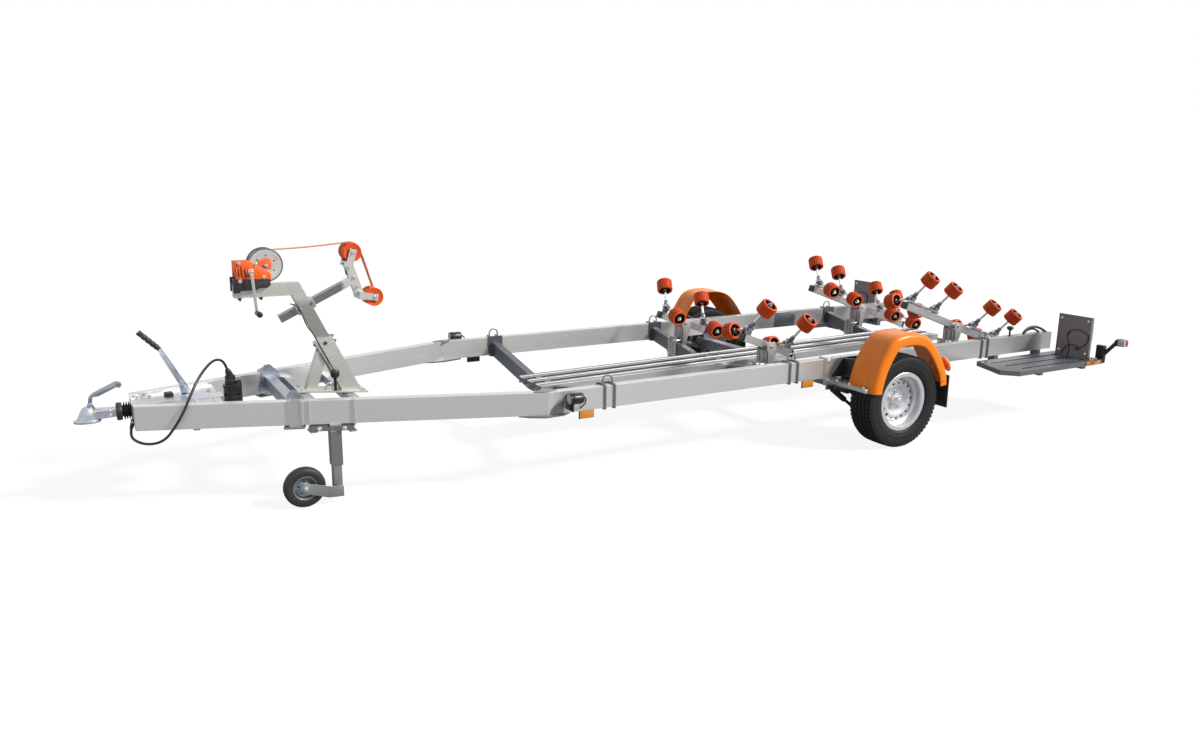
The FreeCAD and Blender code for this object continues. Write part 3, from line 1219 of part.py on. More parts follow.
def jockey_wheel():
    half = JOCKEY_WHEEL_WIDTH / 2
    radius = JOCKEY_WHEEL_RADIUS
    profile = [
        (8.4, -half), (20, -half), (20, -8), (62, -8), (62, -half + 4), (radius - 22, -half),
        (radius - 6, -half + 6), (radius, -12), (radius, 12), (radius - 6, half - 6),
        (radius - 22, half), (62, half - 4), (62, 8), (20, 8), (20, half), (8.4, half),
    ]
    x = DRAWBAR_X + JOCKEY_FROM_DRAWBAR - JOCKEY_WHEEL_LEAD
    return turned(profile, V(x, JOCKEY_Y, radius), ACROSS)


def save(name, shape):
    shape.exportStep(os.path.join("parts", name + ".step"))


def main():
    os.makedirs("parts", exist_ok=True)
    save("drawbars", drawbars())
    save("main_rails", main_rails())
    save("crossmembers", crossmembers())
    save("clamp_fittings", clamp_fittings())
    save("walkway", walkway())
    save("overrun_housing", overrun_housing())
    save("coupling_head", coupling_head())
    save("gaiter", gaiter())
    save("handbrake_lever", handbrake_lever())
    save("plug_holder", plug_holder())
    save("axle", axle())
    save("mudguards", pair(mudguard()))
    save("mudguard_brackets", mudguard_brackets())
    save("winch_post", winch_post())
    save("winch_frame", winch_frame())
    save("winch_crank", winch_crank())
    save("winch_strap", winch_strap())
    save("bow_arm", bow_arm())
    save("bow_rollers", bow_rollers())
    save("roller_posts", roller_posts())
    save("side_platforms", pair(side_platform()))
    save("lamp_boards", pair(lamp_board()))
    save("lamps", lamps())
    save("jockey_bracket", jockey_bracket())
    save("jockey_leg", jockey_leg())
    save("jockey_wheel", jockey_wheel())
    save("lead", tangent_tube(LEAD_ROUTE, LEAD_RADIUS))
    save("plug", plug())
    for name, side in (("left", -1), ("right", 1)):
        save("tyre_" + name, tyre(side))
        save("rim_" + name, rim(side))
        for place, cross_x, length, forks in (
            ("middle", CROSS_XS[1], MIDDLE_ROCKER_LENGTH, MIDDLE_FORKS),
            ("rear", CROSS_XS[2], REAR_ROCKER_LENGTH, REAR_FORKS),
        ):
            save("rocker_%s_%s" % (place, name), rocker(cross_x, side, length, forks))
            outer, inner = fork_rods(side)
            for number, offset in enumerate(forks, 1):
                centre = fork_centre(cross_x, side, offset)
                stem = "roller_%s_%s_%d" % (place, name, number)
                save(stem + "_outer", hull_roller(centre, outer))
                save(stem + "_inner", hull_roller(centre, inner))


main()
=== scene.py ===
import json
import math

import bmesh
import bpy
from mathutils import Matrix, Vector

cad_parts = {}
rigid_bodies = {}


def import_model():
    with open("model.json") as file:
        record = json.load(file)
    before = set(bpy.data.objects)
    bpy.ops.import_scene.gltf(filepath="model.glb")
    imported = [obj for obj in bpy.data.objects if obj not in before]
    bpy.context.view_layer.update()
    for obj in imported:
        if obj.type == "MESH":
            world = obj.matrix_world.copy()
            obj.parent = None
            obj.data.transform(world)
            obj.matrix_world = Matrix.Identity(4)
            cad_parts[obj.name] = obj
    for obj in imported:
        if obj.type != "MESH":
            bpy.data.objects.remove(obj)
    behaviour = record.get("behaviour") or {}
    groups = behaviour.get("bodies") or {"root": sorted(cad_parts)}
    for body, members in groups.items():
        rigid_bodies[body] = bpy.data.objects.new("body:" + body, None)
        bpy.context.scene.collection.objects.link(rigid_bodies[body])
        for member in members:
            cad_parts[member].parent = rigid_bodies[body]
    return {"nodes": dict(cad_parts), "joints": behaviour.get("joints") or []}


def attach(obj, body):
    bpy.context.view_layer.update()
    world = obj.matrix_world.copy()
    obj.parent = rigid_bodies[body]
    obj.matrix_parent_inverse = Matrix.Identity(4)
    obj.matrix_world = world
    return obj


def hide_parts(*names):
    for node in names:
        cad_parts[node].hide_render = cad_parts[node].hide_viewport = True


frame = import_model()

# The studio: a plain pale floor under a white sky, one soft key light from behind the
# viewer's right shoulder, and the camera where the photograph was taken, low at the left front.
def node(tree, kind, values=None, **settings):
    """Adds a node; each named input takes a value, or a link where a socket is given."""
    made = tree.nodes.new(kind)
    for label, setting in settings.items():
        setattr(made, label, setting)
    for place, value in (values or {}).items():
        if isinstance(value, bpy.types.NodeSocket):
            tree.links.new(value, made.inputs[place])
        else:
            made.inputs[place].default_value = value
    return made


def worked(tree, operation, *terms):
    """The result of one sum on sockets and numbers."""
    return node(tree, "ShaderNodeMath", dict(enumerate(terms)), operation=operation).outputs[0]


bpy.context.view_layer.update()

studio = bpy.context.scene
studio.view_settings.view_transform = "Standard"

sky = bpy.data.worlds.new("studio sky")
studio.world = sky
sky.use_nodes = True
sky_tree = sky.node_tree
sky_tree.nodes.clear()
sky_soft = node(sky_tree, "ShaderNodeBackground", {"Strength": 0.37, "Color": (0.86, 0.92, 1.0, 1)})
sky_shown = node(sky_tree, "ShaderNodeBackground", {"Strength": 1.0, "Color": (1, 1, 1, 1)})
ray = node(sky_tree, "ShaderNodeLightPath").outputs
seen = worked(sky_tree, "MAXIMUM", ray["Is Camera Ray"], ray["Is Glossy Ray"])
seen = worked(sky_tree, "MAXIMUM", seen, ray["Is Transmission Ray"])
sky_mix = node(sky_tree, "ShaderNodeMixShader", {0: seen, 1: sky_soft.outputs[0], 2: sky_shown.outputs[0]})
node(sky_tree, "ShaderNodeOutputWorld", {0: sky_mix.outputs[0]})

key_data = bpy.data.lights.new("key light", "SUN")
key_data.energy = 3.5
key_data.angle = math.radians(9)
key_data.color = (1.0, 0.975, 0.94)
key = bpy.data.objects.new("key light", key_data)
key.rotation_mode = "QUATERNION"
key.rotation_quaternion = Vector((-0.70, 0.66, -0.72)).to_track_quat("-Z", "Y")
studio.collection.objects.link(key)

floor_mesh = bpy.data.meshes.new("floor")
floor_mesh.from_pydata([(-60, -60, 0), (60, -60, 0), (60, 60, 0), (-60, 60, 0)], [], [(0, 1, 2, 3)])
floor = bpy.data.objects.new("floor", floor_mesh)
studio.collection.objects.link(floor)
floor_paint = bpy.data.materials.new("pale floor")
floor_paint.use_nodes = True
floor_tree = floor_paint.node_tree
floor_shader = floor_tree.nodes["Principled BSDF"]
floor_shader.inputs["Base Color"].default_value = (0.42, 0.42, 0.42, 1)
floor_shader.inputs["Roughness"].default_value = 0.9
floor_glow = node(floor_tree, "ShaderNodeEmission", {"Strength": 1.41})
floor_seen = node(floor_tree, "ShaderNodeLightPath").outputs["Is Camera Ray"]
floor_share = worked(floor_tree, "MULTIPLY", floor_seen, 0.62)
floor_mix = node(floor_tree, "ShaderNodeMixShader", {
    0: floor_share, 1: floor_shader.outputs[0], 2: floor_glow.outputs[0]})
floor_tree.links.new(floor_mix.outputs[0], floor_tree.nodes["Material Output"].inputs["Surface"])
floor_mesh.materials.append(floor_paint)

camera_data = bpy.data.cameras.new("camera")
camera_data.sensor_fit = "HORIZONTAL"
camera_data.sensor_width = 36.0
focal_pixels, picture_width = 952.9, 1200.0
camera_data.lens = 36.0 * focal_pixels / picture_width
camera = bpy.data.objects.new("camera", camera_data)
yaw, pitch, roll = 0.516, -0.226, 0.012
ahead = Vector((math.sin(yaw) * math.cos(pitch), math.cos(yaw) * math.cos(pitch), math.sin(pitch)))
level = Vector((math.cos(yaw), -math.sin(yaw), 0))
upright = level.cross(ahead)
camera_place = (-3.394, -5.524, 1.88)
camera.matrix_world = Matrix.Translation(camera_place) @ Matrix((
    level * math.cos(roll) + upright * math.sin(roll),
    upright * math.cos(roll) - level * math.sin(roll),
    -ahead,
)).transposed().to_4x4()
studio.collection.objects.link(camera)
studio.camera = camera


# The seven-core lead that feeds the trailer's lamps: a smooth black sheath that comes out of
# the gland beside the overrun shaft, hangs under the left drawbar and loops up to its plug.
def finish(name, colour, roughness, metallic=0.0, **sockets):
    """A material whose plain values sit on the shader's own sockets."""
    made = bpy.data.materials.new(name)
    made.use_nodes = True
    shader = made.node_tree.nodes["Principled BSDF"]
    shader.inputs["Base Color"].default_value = (*colour, 1)
    shader.inputs["Roughness"].default_value = roughness
    shader.inputs["Metallic"].default_value = metallic
    for socket, value in sockets.items():
        shader.inputs[socket.replace("_", " ")].default_value = value
    return made


def surface_group(name, given):
    """A node group with named inputs; gives it with their sockets and the object coordinates."""
    group = bpy.data.node_groups.new(name, "ShaderNodeTree")
    kinds = {4: "NodeSocketColor", 3: "NodeSocketVector"}
    for label, value in given.items():
        kind = kinds[len(value)] if isinstance(value, tuple) else "NodeSocketFloat"
        group.interface.new_socket(label, in_out="INPUT", socket_type=kind).default_value = value
    for label, kind in (("Color", "Color"), ("Roughness", "Float"), ("Normal", "Vector")):
        group.interface.new_socket(label, in_out="OUTPUT", socket_type="NodeSocket" + kind)
    place = node(group, "ShaderNodeTexCoord").outputs["Object"]
    return group, node(group, "NodeGroupInput").outputs, place


def finish_group(group, colour, roughness, **bump):
    """Ends a group in its colour, its roughness and a normal from a bump node."""
    normal = node(group, "ShaderNodeBump", bump).outputs[0]
    node(group, "NodeGroupOutput", {"Color": colour, "Roughness": roughness, "Normal": normal})
    return group


def noise(tree, place, scale, detail):
    return node(tree, "ShaderNodeTexNoise", {
        "Vector": place, "Scale": scale, "Detail": detail, "Roughness": 0.55}).outputs["Fac"]


def sum_of(tree, *terms):
    """Adds up (socket, weight) pairs."""
    total = 0.0
    for socket, weight in terms:
        total = worked(tree, "MULTIPLY_ADD", socket, weight, total)
    return total


def ranged(tree, socket, low, high, to_low, to_high):
    return node(tree, "ShaderNodeMapRange", {
        "Value": socket, "From Min": low, "From Max": high, "To Min": to_low, "To Max": to_high,
    }).outputs["Result"]


def blended(tree, share, first, second, **settings):
    """Mixes two colours; 6 and 7 are the mix node's colour inputs, and 2 its colour output."""
    return node(tree, "ShaderNodeMix", {0: share, 6: first, 7: second},
                data_type="RGBA", **settings).outputs[2]


def moulded_group():
    """Moulded rubber or plastic: fine grain, cloudy bloom and a little dust on what faces up."""
    group, given, place = surface_group("moulded skin", {
        "Colour": (0.03, 0.03, 0.03, 1), "Dust": (0.20, 0.18, 0.16, 1), "Dustiness": 0.15,
        "Gloss": 0.45, "Grain": 0.25})
    cloud = noise(group, place, 9.0, 5.0)
    normal = node(group, "ShaderNodeNewGeometry").outputs["Normal"]
    facing = node(group, "ShaderNodeSeparateXYZ", {0: normal}).outputs["Z"]
    spread = worked(group, "MULTIPLY", ranged(group, cloud, 0.35, 0.75, 0.2, 1.0),
                    ranged(group, facing, 0.0, 1.0, 0.25, 1.0))
    share = worked(group, "MULTIPLY", spread, given["Dustiness"])
    rough = worked(group, "ADD", given["Gloss"], ranged(group, cloud, 0.3, 0.7, -0.06, 0.10))
    return finish_group(group, blended(group, share, given["Colour"], given["Dust"]), rough,
                        Distance=0.0004, Strength=given["Grain"], Height=noise(group, place, 900.0, 2.0))


moulded_skin = moulded_group()


def skinned(made, group, **values):
    """Feeds a material's colour, roughness and normal from a group with its own values."""
    tree = made.node_tree
    skin = node(tree, "ShaderNodeGroup", values, node_tree=group)
    shader = tree.nodes["Principled BSDF"]
    for source, target in (("Color", "Base Color"), ("Roughness", "Roughness"), ("Normal", "Normal")):
        tree.links.new(skin.outputs[source], shader.inputs[target])
    return made


def moulded(name, colour, gloss, dustiness, grain, dust=(0.20, 0.18, 0.16), metallic=0.0, **sockets):
    """Rubber, plastic or smooth paint in one colour, with its own gloss, dust and grain."""
    return skinned(finish(name, colour, gloss, metallic, **sockets), moulded_skin, Colour=(*colour, 1),
                   Dust=(*dust, 1), Dustiness=dustiness, Gloss=gloss, Grain=grain)


sheath = moulded("cable sheath", (0.012, 0.012, 0.013), 0.34, 0.06, 0.08)
lead_route = (
    (-3.15, -0.07, 0.462), (-3.165, -0.102, 0.43), (-3.159, -0.153, 0.398), (-3.095, -0.206, 0.376),
    (-3.015, -0.256, 0.4), (-2.957, -0.284, 0.484), (-2.912, -0.286, 0.56), (-2.869, -0.262, 0.642),
    (-2.825, -0.218, 0.708), (-2.778, -0.16, 0.75), (-2.731, -0.103, 0.775), (-2.6904, -0.0592, 0.7698),
    (-2.6628, -0.0295, 0.7415), (-2.6499, -0.0154, 0.7013),
)
lead_thick = 0.014
lead_curve = bpy.data.curves.new("lead line", "CURVE")
lead_curve.dimensions = "3D"
lead_curve.bevel_depth = lead_thick / 2
lead_curve.bevel_resolution = 5
lead_curve.use_fill_caps = True
lead_line = lead_curve.splines.new("NURBS")
lead_line.points.add(len(lead_route) - 1)
for point, place in zip(lead_line.points, lead_route):
    point.co = (*place, 1)
lead_line.order_u = 3
lead_line.use_endpoint_u = True
lead_line.resolution_u = 12
lead_curve.materials.append(sheath)
lead_piece = bpy.data.objects.new("lead_cable", lead_curve)
studio.collection.objects.link(lead_piece)
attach(lead_piece, "chassis")
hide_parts("lead")


# The lead's two ends: a tapered rubber sleeve at the gland, and a round plug with a ribbed
# boot, parked upright in a black moulded socket whose hinged lid stands open behind it.
def circle(middle, across, other, radius, steps):
    """Points of a circle in the plane of two directions."""
    return [middle + radius * (across * math.cos(2 * math.pi * k / steps)
                               + other * math.sin(2 * math.pi * k / steps)) for k in range(steps)]


def lathe(shape, profile, centre=(0, 0, 0), axis=(0, 0, 1), steps=32, ring=False):
    """Revolves (radius, along) points about an axis; ring joins the last point to the first."""
    axis = Vector(axis).normalized()
    across = axis.orthogonal().normalized()
    other = axis.cross(across)
    loops = []
    for radius, along in profile:
        middle = Vector(centre) + axis * along
        points = circle(middle, across, other, radius, steps) if radius > 1e-6 else [middle]
        loops.append([shape.verts.new(point) for point in points])
    for low, high in list(zip(loops, loops[1:])) + ([(loops[-1], loops[0])] if ring else []):
        for k in range(steps):
            corners = list(dict.fromkeys((low[k % len(low)], low[(k + 1) % len(low)],
                                          high[(k + 1) % len(high)], high[k % len(high)])))
            if len(corners) > 2:
                shape.faces.new(corners)
    if not ring:
        for loop in (loops[0], loops[-1]):
            if len(loop) > 2:
                shape.faces.new(loop)
    return shape


def bridge(shape, low, high):
    """Faces between two closed rings of vertices."""
    ends = [(k, (k + 1) % len(low)) for k in range(len(low))]
    return [shape.faces.new((low[k], low[after], high[after], high[k])) for k, after in ends]


def skin_rings(shape, rings, round_off=0.0):
    """Bridges rings of points, each of the same count, into one closed solid."""
    loops = [[shape.verts.new(point) for point in ring] for ring in rings]
    made = [shape.faces.new(loops[0]), shape.faces.new(loops[-1])]
    for low, high in zip(loops, loops[1:]):
        made += bridge(shape, low, high)
    if round_off:
        edges = list({edge for face in made for edge in face.edges})
        bmesh.ops.bevel(shape, geom=edges, offset=round_off, segments=2, profile=0.5,
                        affect="EDGES", clamp_overlap=True)
    return shape


def slab(shape, outline, axis, low, high, round_off=0.0):
    """Extrudes an outline of two coordinates along the third, with its edges rounded."""
    where = "xyz".index(axis)
    return skin_rings(shape, [[(*point[:where], height, *point[where:]) for point in outline]
                              for height in (low, high)], round_off)


def block(shape, x0, x1, y0, y1, z0, z1, round_off=0.001):
    return slab(shape, [(x0, y0), (x1, y0), (x1, y1), (x0, y1)], "z", z0, z1, round_off)


def pipe(shape, points, radius, steps=12):
    """Round bar or hose through a list of points, its section carried along without twist."""
    points = [Vector(point) for point in points]
    rings, across = [], None
    for k, point in enumerate(points):
        run = (points[min(k + 1, len(points) - 1)] - points[max(k - 1, 0)]).normalized()
        across = run.orthogonal() if across is None else across - run * across.dot(run)
        across.normalize()
        reach = radius[k] if isinstance(radius, (list, tuple)) else radius
        rings.append(circle(point, across, run.cross(across), reach, steps))
    return skin_rings(shape, rings)


def bar(shape, start, end, width, depth, round_off=0.001, side=(0, 1, 0)):
    """Square bar from start to end: width along the side direction, depth across it."""
    start, end, side = Vector(start), Vector(end), Vector(side).normalized()
    run = (end - start).normalized()
    side = (side - run * side.dot(run)).normalized()
    up = run.cross(side)
    corners = [side * (a * width / 2) + up * (b * depth / 2)
               for a, b in ((-1, -1), (1, -1), (1, 1), (-1, 1))]
    return skin_rings(shape, [[place + corner for corner in corners] for place in (start, end)], round_off)


def placed(name, parts, slot, *stands_for, body="chassis", crease=32):
    """One piece from (shape, material) pairs, on a body, hiding the CAD nodes it stands for; slot is not used.
    """
    mesh = bpy.data.meshes.new(name)
    whole = bmesh.new()
    for index, (shape, made) in enumerate(parts):
        bmesh.ops.remove_doubles(shape, verts=shape.verts, dist=1e-6)
        bmesh.ops.recalc_face_normals(shape, faces=shape.faces)
        for face in shape.faces:
            face.material_index = index
            face.smooth = True
        held = template("held", shape)
        whole.from_mesh(held)
        bpy.data.meshes.remove(held)
        mesh.materials.append(made)
    whole.to_mesh(mesh)
    whole.free()
    mesh.set_sharp_from_angle(angle=math.radians(crease))
    piece = bpy.data.objects.new(name, mesh)
    studio.collection.objects.link(piece)
    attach(piece, body)
    if stands_for:
        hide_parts(*stands_for)
    return piece


def template(name, shape):
    """Keeps a shape as a mesh and lets go of the shape."""
    mesh = bpy.data.meshes.new(name)
    shape.to_mesh(mesh)
    shape.free()
    return mesh


rubber = moulded("black rubber", (0.016, 0.016, 0.017), 0.46, 0.10, 0.35)
gloss_black = moulded("black moulding", (0.013, 0.013, 0.014), 0.28, 0.05, 0.12)

relief_start = Vector(lead_route[0])
relief_profile = [(0.0072, -0.026), (0.0125, -0.026), (0.0125, -0.012)]
for fold in range(5):
    along = -0.01 + 0.007 * fold
    relief_profile += [(0.0118 - 0.0006 * fold, along), (0.0118 - 0.0006 * fold, along + 0.004),
                       (0.0096 - 0.0003 * fold, along + 0.005)]
relief_profile += [(0.0078, 0.028), (0.0072, 0.028)]
relief_run = Vector(lead_route[1]) - relief_start
relief = lathe(bmesh.new(), relief_profile, relief_start, relief_run, 20, ring=True)
placed("lead_gland", [(relief, rubber)], "cable_black")

plug_x, plug_shape = -2.6355, bmesh.new()
lathe(plug_shape, [(0, 0.5805), (0.0285, 0.5805), (0.0285, 0.62), (0.03, 0.6205), (0.03, 0.634),
                   (0.0275, 0.636), (0.0255, 0.642), (0.0245, 0.664), (0.0, 0.664)],
      (plug_x, 0, 0), steps=28)
boot = [(0, -0.014), (0.0205, -0.014), (0.0215, 0.004)]
for fold in range(4):
    along = 0.008 + 0.010 * fold
    boot += [(0.0195 - 0.0018 * fold, along), (0.0205 - 0.0018 * fold, along + 0.005),
             (0.0165 - 0.0017 * fold, along + 0.008)]
boot += [(0.01, 0.0495), (0, 0.0495)]
lathe(plug_shape, boot, (plug_x, 0, 0.656), (-0.2886, -0.3085, 0.9063), 24)
for turn in range(10):
    angle = 2 * math.pi * turn / 10
    foot = Vector((plug_x + 0.0258 * math.cos(angle), 0.0258 * math.sin(angle), 0.64))
    bar(plug_shape, foot, foot + Vector((0, 0, 0.02)), 0.005, 0.0035, 0.0006,
        (math.sin(angle), -math.cos(angle), 0))
plug_piece = placed("lead_plug", [(plug_shape, gloss_black)], "cable_black", "plug")

socket_shape = lathe(bmesh.new(), [
    (0.03, 0.582), (0.03, 0.611), (0.032, 0.6125), (0.04, 0.6125), (0.0425, 0.61), (0.0425, 0.596),
    (0.0395, 0.594), (0.0395, 0.548), (0.0425, 0.545), (0.0425, 0.516), (0.0, 0.516), (0.0, 0.582),
], (plug_x, 0, 0), steps=36)
block(socket_shape, -2.6825, -2.5815, -0.034, 0.034, 0.503, 0.549, 0.003)
slab(socket_shape, [(-2.6, 0.545), (-2.6, 0.628), (-2.594, 0.637), (-2.584, 0.637), (-2.581, 0.628),
                    (-2.581, 0.545)], "y", -0.026, 0.026, 0.002)
pipe(socket_shape, [(-2.5935, -0.032, 0.618), (-2.5935, 0.032, 0.618)], 0.006)
for side in (-1, 1):
    block(socket_shape, -2.612, -2.59, side * 0.029 - 0.004, side * 0.029 + 0.004, 0.56, 0.622)
placed("parking_socket", [(socket_shape, gloss_black)], "cable_black", "plug_holder")


# The side members and drawbars: closed box tube, mill-bright under its zinc, with faint
# lengthwise die lines and the cloudy, spangled bloom that zinc gets in the weather.
def zinc_group():
    """Zinc-coated or rolled metal: spangle, cloudy bloom, lengthwise streaks, rounded edges."""
    group, given, place = surface_group("zinc skin", {
        "Bright": (0.70, 0.71, 0.72, 1), "Dull": (0.44, 0.46, 0.48, 1), "Spangle": 90.0,
        "Gloss": 0.38, "Edge": 0.0015, "Run": (1.2, 60.0, 60.0)})
    flake = node(group, "ShaderNodeTexVoronoi", {"Vector": place, "Scale": given["Spangle"]})
    tint = node(group, "ShaderNodeSeparateColor", {0: flake.outputs["Color"]}).outputs[0]
    cloud = noise(group, place, 3.2, 5.0)
    fleck = noise(group, place, 160.0, 2.0)
    stretch = node(group, "ShaderNodeVectorMath", {0: place, 1: given["Run"]}, operation="MULTIPLY")
    streak = noise(group, stretch.outputs[0], 1.0, 4.0)
    blend = sum_of(group, (tint, 0.18), (cloud, 0.75), (streak, 0.55), (fleck, 0.12))
    mask = ranged(group, blend, 0.5, 1.1, 0.0, 1.0)
    rough = worked(group, "ADD", given["Gloss"], ranged(group, mask, 0.0, 1.0, 0.12, -0.06))
    edge = node(group, "ShaderNodeBevel", {"Radius": given["Edge"]}, samples=4)
    return finish_group(group, blended(group, mask, given["Dull"], given["Bright"]), rough,
                        Strength=0.12, Distance=0.0006, Normal=edge.outputs[0],
                        Height=sum_of(group, (streak, 0.7), (tint, 0.25), (fleck, 0.2)))


zinc_skin = zinc_group()


def zinc(name, bright, dull, gloss=0.38, metallic=0.75, spangle=90.0, edge=0.0015):
    return skinned(finish(name, bright, gloss, metallic), zinc_skin, Bright=(*bright, 1),
                   Dull=(*dull, 1), Spangle=spangle, Gloss=gloss, Edge=edge)


def darker_past(made, axis, start, end, share):
    """Lets a coat go duller and darker along an axis, between start and end."""
    tree = made.node_tree
    place = node(tree, "ShaderNodeTexCoord").outputs["Object"]
    split = node(tree, "ShaderNodeSeparateXYZ", {0: place})
    fade = ranged(tree, split.outputs[axis], start, end, 1.0, share)
    target = tree.nodes["Principled BSDF"].inputs["Base Color"]
    tree.links.new(blended(tree, 1.0, target.links[0].from_socket, fade, blend_type="MULTIPLY"), target)
    return made


def coat(cad_node, made):
    """Gives a carried-over node its material."""
    shown = frame["nodes"][cad_node].data
    shown.materials.clear()
    shown.materials.append(made)


rail_zinc = zinc("rolled side member", (0.72, 0.72, 0.71), (0.65, 0.65, 0.65), 0.36, 0.7)
# From just behind the axle to the tail the side members' colour drops to seven tenths: painted shade.
darker_past(rail_zinc, "X", 1.45, 1.75, 0.70)
coat("main_rails", rail_zinc)
coat("drawbars", rail_zinc)

# The dropped crossmembers and the short tubes between the drawbars are a darker zinc, and the
# dropped crossmembers are made darker still behind the front tubes: painted shade. The walkway
# planks are paler, and the straps that clamp them go from bright to dark, also painted shade.
# A dark slate zinc, used only for the sheets behind the axle that stand for a shadow: painted shadow.
shadow_plate_zinc = zinc("shadow plate zinc", (0.20, 0.22, 0.25), (0.12, 0.135, 0.155), 0.34, 0.85)
front_zinc = zinc("front tube zinc", (0.46, 0.50, 0.56), (0.28, 0.31, 0.35), 0.34, 0.85)
# Behind the front tubes the crossmembers' colour drops to four tenths: painted shade.
coat("crossmembers", darker_past(front_zinc, "X", -2.0, -1.6, 0.40))
coat("walkway", zinc("walkway planks", (0.60, 0.60, 0.60), (0.56, 0.565, 0.57), 0.36))
clamp_zinc = zinc("clamp straps", (0.66, 0.66, 0.65), (0.46, 0.47, 0.47), 0.33, 0.8, 300.0, 0.0008)
# Behind the front clamps the straps' colour drops to under half: painted shade.
coat("clamp_fittings", darker_past(clamp_zinc, "X", -1.9, -1.6, 0.45))


# The hull rollers: orange polyurethane cast round a black nylon centre, with lengthwise ribs,
# a plain band at each rim, and a recessed hub that a bright star clip holds on its rod.
def tree_of(name, given):
    """An empty geometry tree with named inputs; gives it with their sockets."""
    tree = bpy.data.node_groups.new(name, "GeometryNodeTree")
    tree.interface.new_socket("Geometry", in_out="INPUT", socket_type="NodeSocketGeometry")
    for label, kind in (("Stamp", "Object"), ("Finish", "Material")):
        tree.interface.new_socket(label, in_out="INPUT", socket_type="NodeSocket" + kind)
    for label, (kind, value) in given.items():
        socket = tree.interface.new_socket(label, in_out="INPUT", socket_type="NodeSocket" + kind)
        socket.default_value = value
    tree.interface.new_socket("Geometry", in_out="OUTPUT", socket_type="NodeSocketGeometry")
    return tree, node(tree, "NodeGroupInput").outputs


def stamps_on(tree, given, points, outward, along, secondary):
    """Copies of the stamp on points, its Z outward and a second axis of its own along."""
    turn = node(tree, "FunctionNodeAxesToRotation", {0: outward, 1: along},
                primary_axis="Z", secondary_axis=secondary)
    stamp = node(tree, "GeometryNodeObjectInfo", {"Object": given["Stamp"]})
    return node(tree, "GeometryNodeInstanceOnPoints", {
        "Points": points, "Instance": stamp.outputs["Geometry"], "Rotation": turn.outputs[0],
        "Scale": given["Size"]}).outputs[0]


def finish_tree(tree, given, copies):
    """Ends a tree in real geometry that carries its own material."""
    real = node(tree, "GeometryNodeRealizeInstances", {0: copies})
    coated = node(tree, "GeometryNodeSetMaterial", {
        "Geometry": real.outputs[0], "Material": given["Finish"]})
    node(tree, "NodeGroupOutput", {0: coated.outputs[0]})
    return tree


def ring_of_copies():
    """Copies of a stamp round the Z axis, each with its own Z outward and its own Y along the axis."""
    tree, given = tree_of("ring of copies", {
        "Count": ("Int", 24), "Radius": ("Float", 0.1), "Height": ("Float", 0.0), "Phase": ("Float", 0.0),
        "Size": ("Vector", (1, 1, 1))})
    ring = node(tree, "GeometryNodeMeshCircle", {"Vertices": given["Count"], "Radius": given["Radius"]})
    outward = node(tree, "GeometryNodeInputPosition").outputs[0]
    copies = stamps_on(tree, given, ring.outputs[0], outward, (0, 0, 1), "Y")
    lift = node(tree, "ShaderNodeCombineXYZ", {"Z": given["Height"]})
    turn = node(tree, "ShaderNodeCombineXYZ", {"Z": given["Phase"]})
    moved = node(tree, "GeometryNodeTransform", {
        "Geometry": copies, "Translation": lift.outputs[0], "Rotation": turn.outputs[0]})
    return finish_tree(tree, given, moved.outputs[0])


def copies_at_spots():
    """Copies of a stamp at a mesh's points, each with its Z along the point's facing attribute."""
    tree, given = tree_of("copies at spots", {"Size": ("Vector", (1, 1, 1))})
    facing, lie = [node(tree, "GeometryNodeInputNamedAttribute", {"Name": label}, data_type="FLOAT_VECTOR")
                   for label in ("facing", "lie")]
    copies = stamps_on(tree, given, given["Geometry"], facing.outputs["Attribute"],
                       lie.outputs["Attribute"], "X")
    return finish_tree(tree, given, copies)


ring_tree, spots_tree = ring_of_copies(), copies_at_spots()


def stamp_of(name, shape):
    """Keeps a small shape as an object that trees copy; it isn't in the scene itself."""
    bmesh.ops.remove_doubles(shape, verts=shape.verts, dist=1e-7)
    bmesh.ops.recalc_face_normals(shape, faces=shape.faces)
    return bpy.data.objects.new(name, template(name, shape))


def grown(tree, base, **values):
    """Runs a tree on a base mesh and gives back its result as an editable shape."""
    carrier = bpy.data.objects.new("carrier", base)
    studio.collection.objects.link(carrier)
    modifier = carrier.modifiers.new("grow", "NODES")
    modifier.node_group = tree
    sockets = {item.name: item.identifier for item in tree.interface.items_tree
               if item.item_type == "SOCKET" and item.in_out == "INPUT"}
    for label, value in values.items():
        modifier[sockets[label]] = value
    made = bpy.data.meshes.new_from_object(carrier.evaluated_get(bpy.context.evaluated_depsgraph_get()))
    shape = bmesh.new()
    shape.from_mesh(made)
    bpy.data.objects.remove(carrier)
    bpy.data.meshes.remove(base)
    bpy.data.meshes.remove(made)
    for face in shape.faces:
        face.material_index = 0
    return shape


def ring_mesh(name, stamp, made, count, radius, size, height=0.0, phase=0.0):
    """A ring of stamps round the Z axis, kept as a mesh."""
    return template(name, grown(ring_tree, bpy.data.meshes.new("seed"), Stamp=stamp, Finish=made,
                                Count=count, Radius=radius, Height=height, Phase=phase, Size=size))


def at_spots(stamp, made, spots, size=(1, 1, 1)):
    """Copies of a stamp at (place, facing) spots."""
    base = bpy.data.meshes.new("spots")
    base.from_pydata([place for place, _ in spots], [], [])
    facings = [Vector(facing) for _, facing in spots]
    for label, ways in (("facing", facings), ("lie", [facing.orthogonal() for facing in facings])):
        layer = base.attributes.new(label, "FLOAT_VECTOR", "POINT")
        for point, way in zip(layer.data, ways):
            point.vector = way
    return grown(spots_tree, base, Stamp=stamp, Finish=made, Size=size)


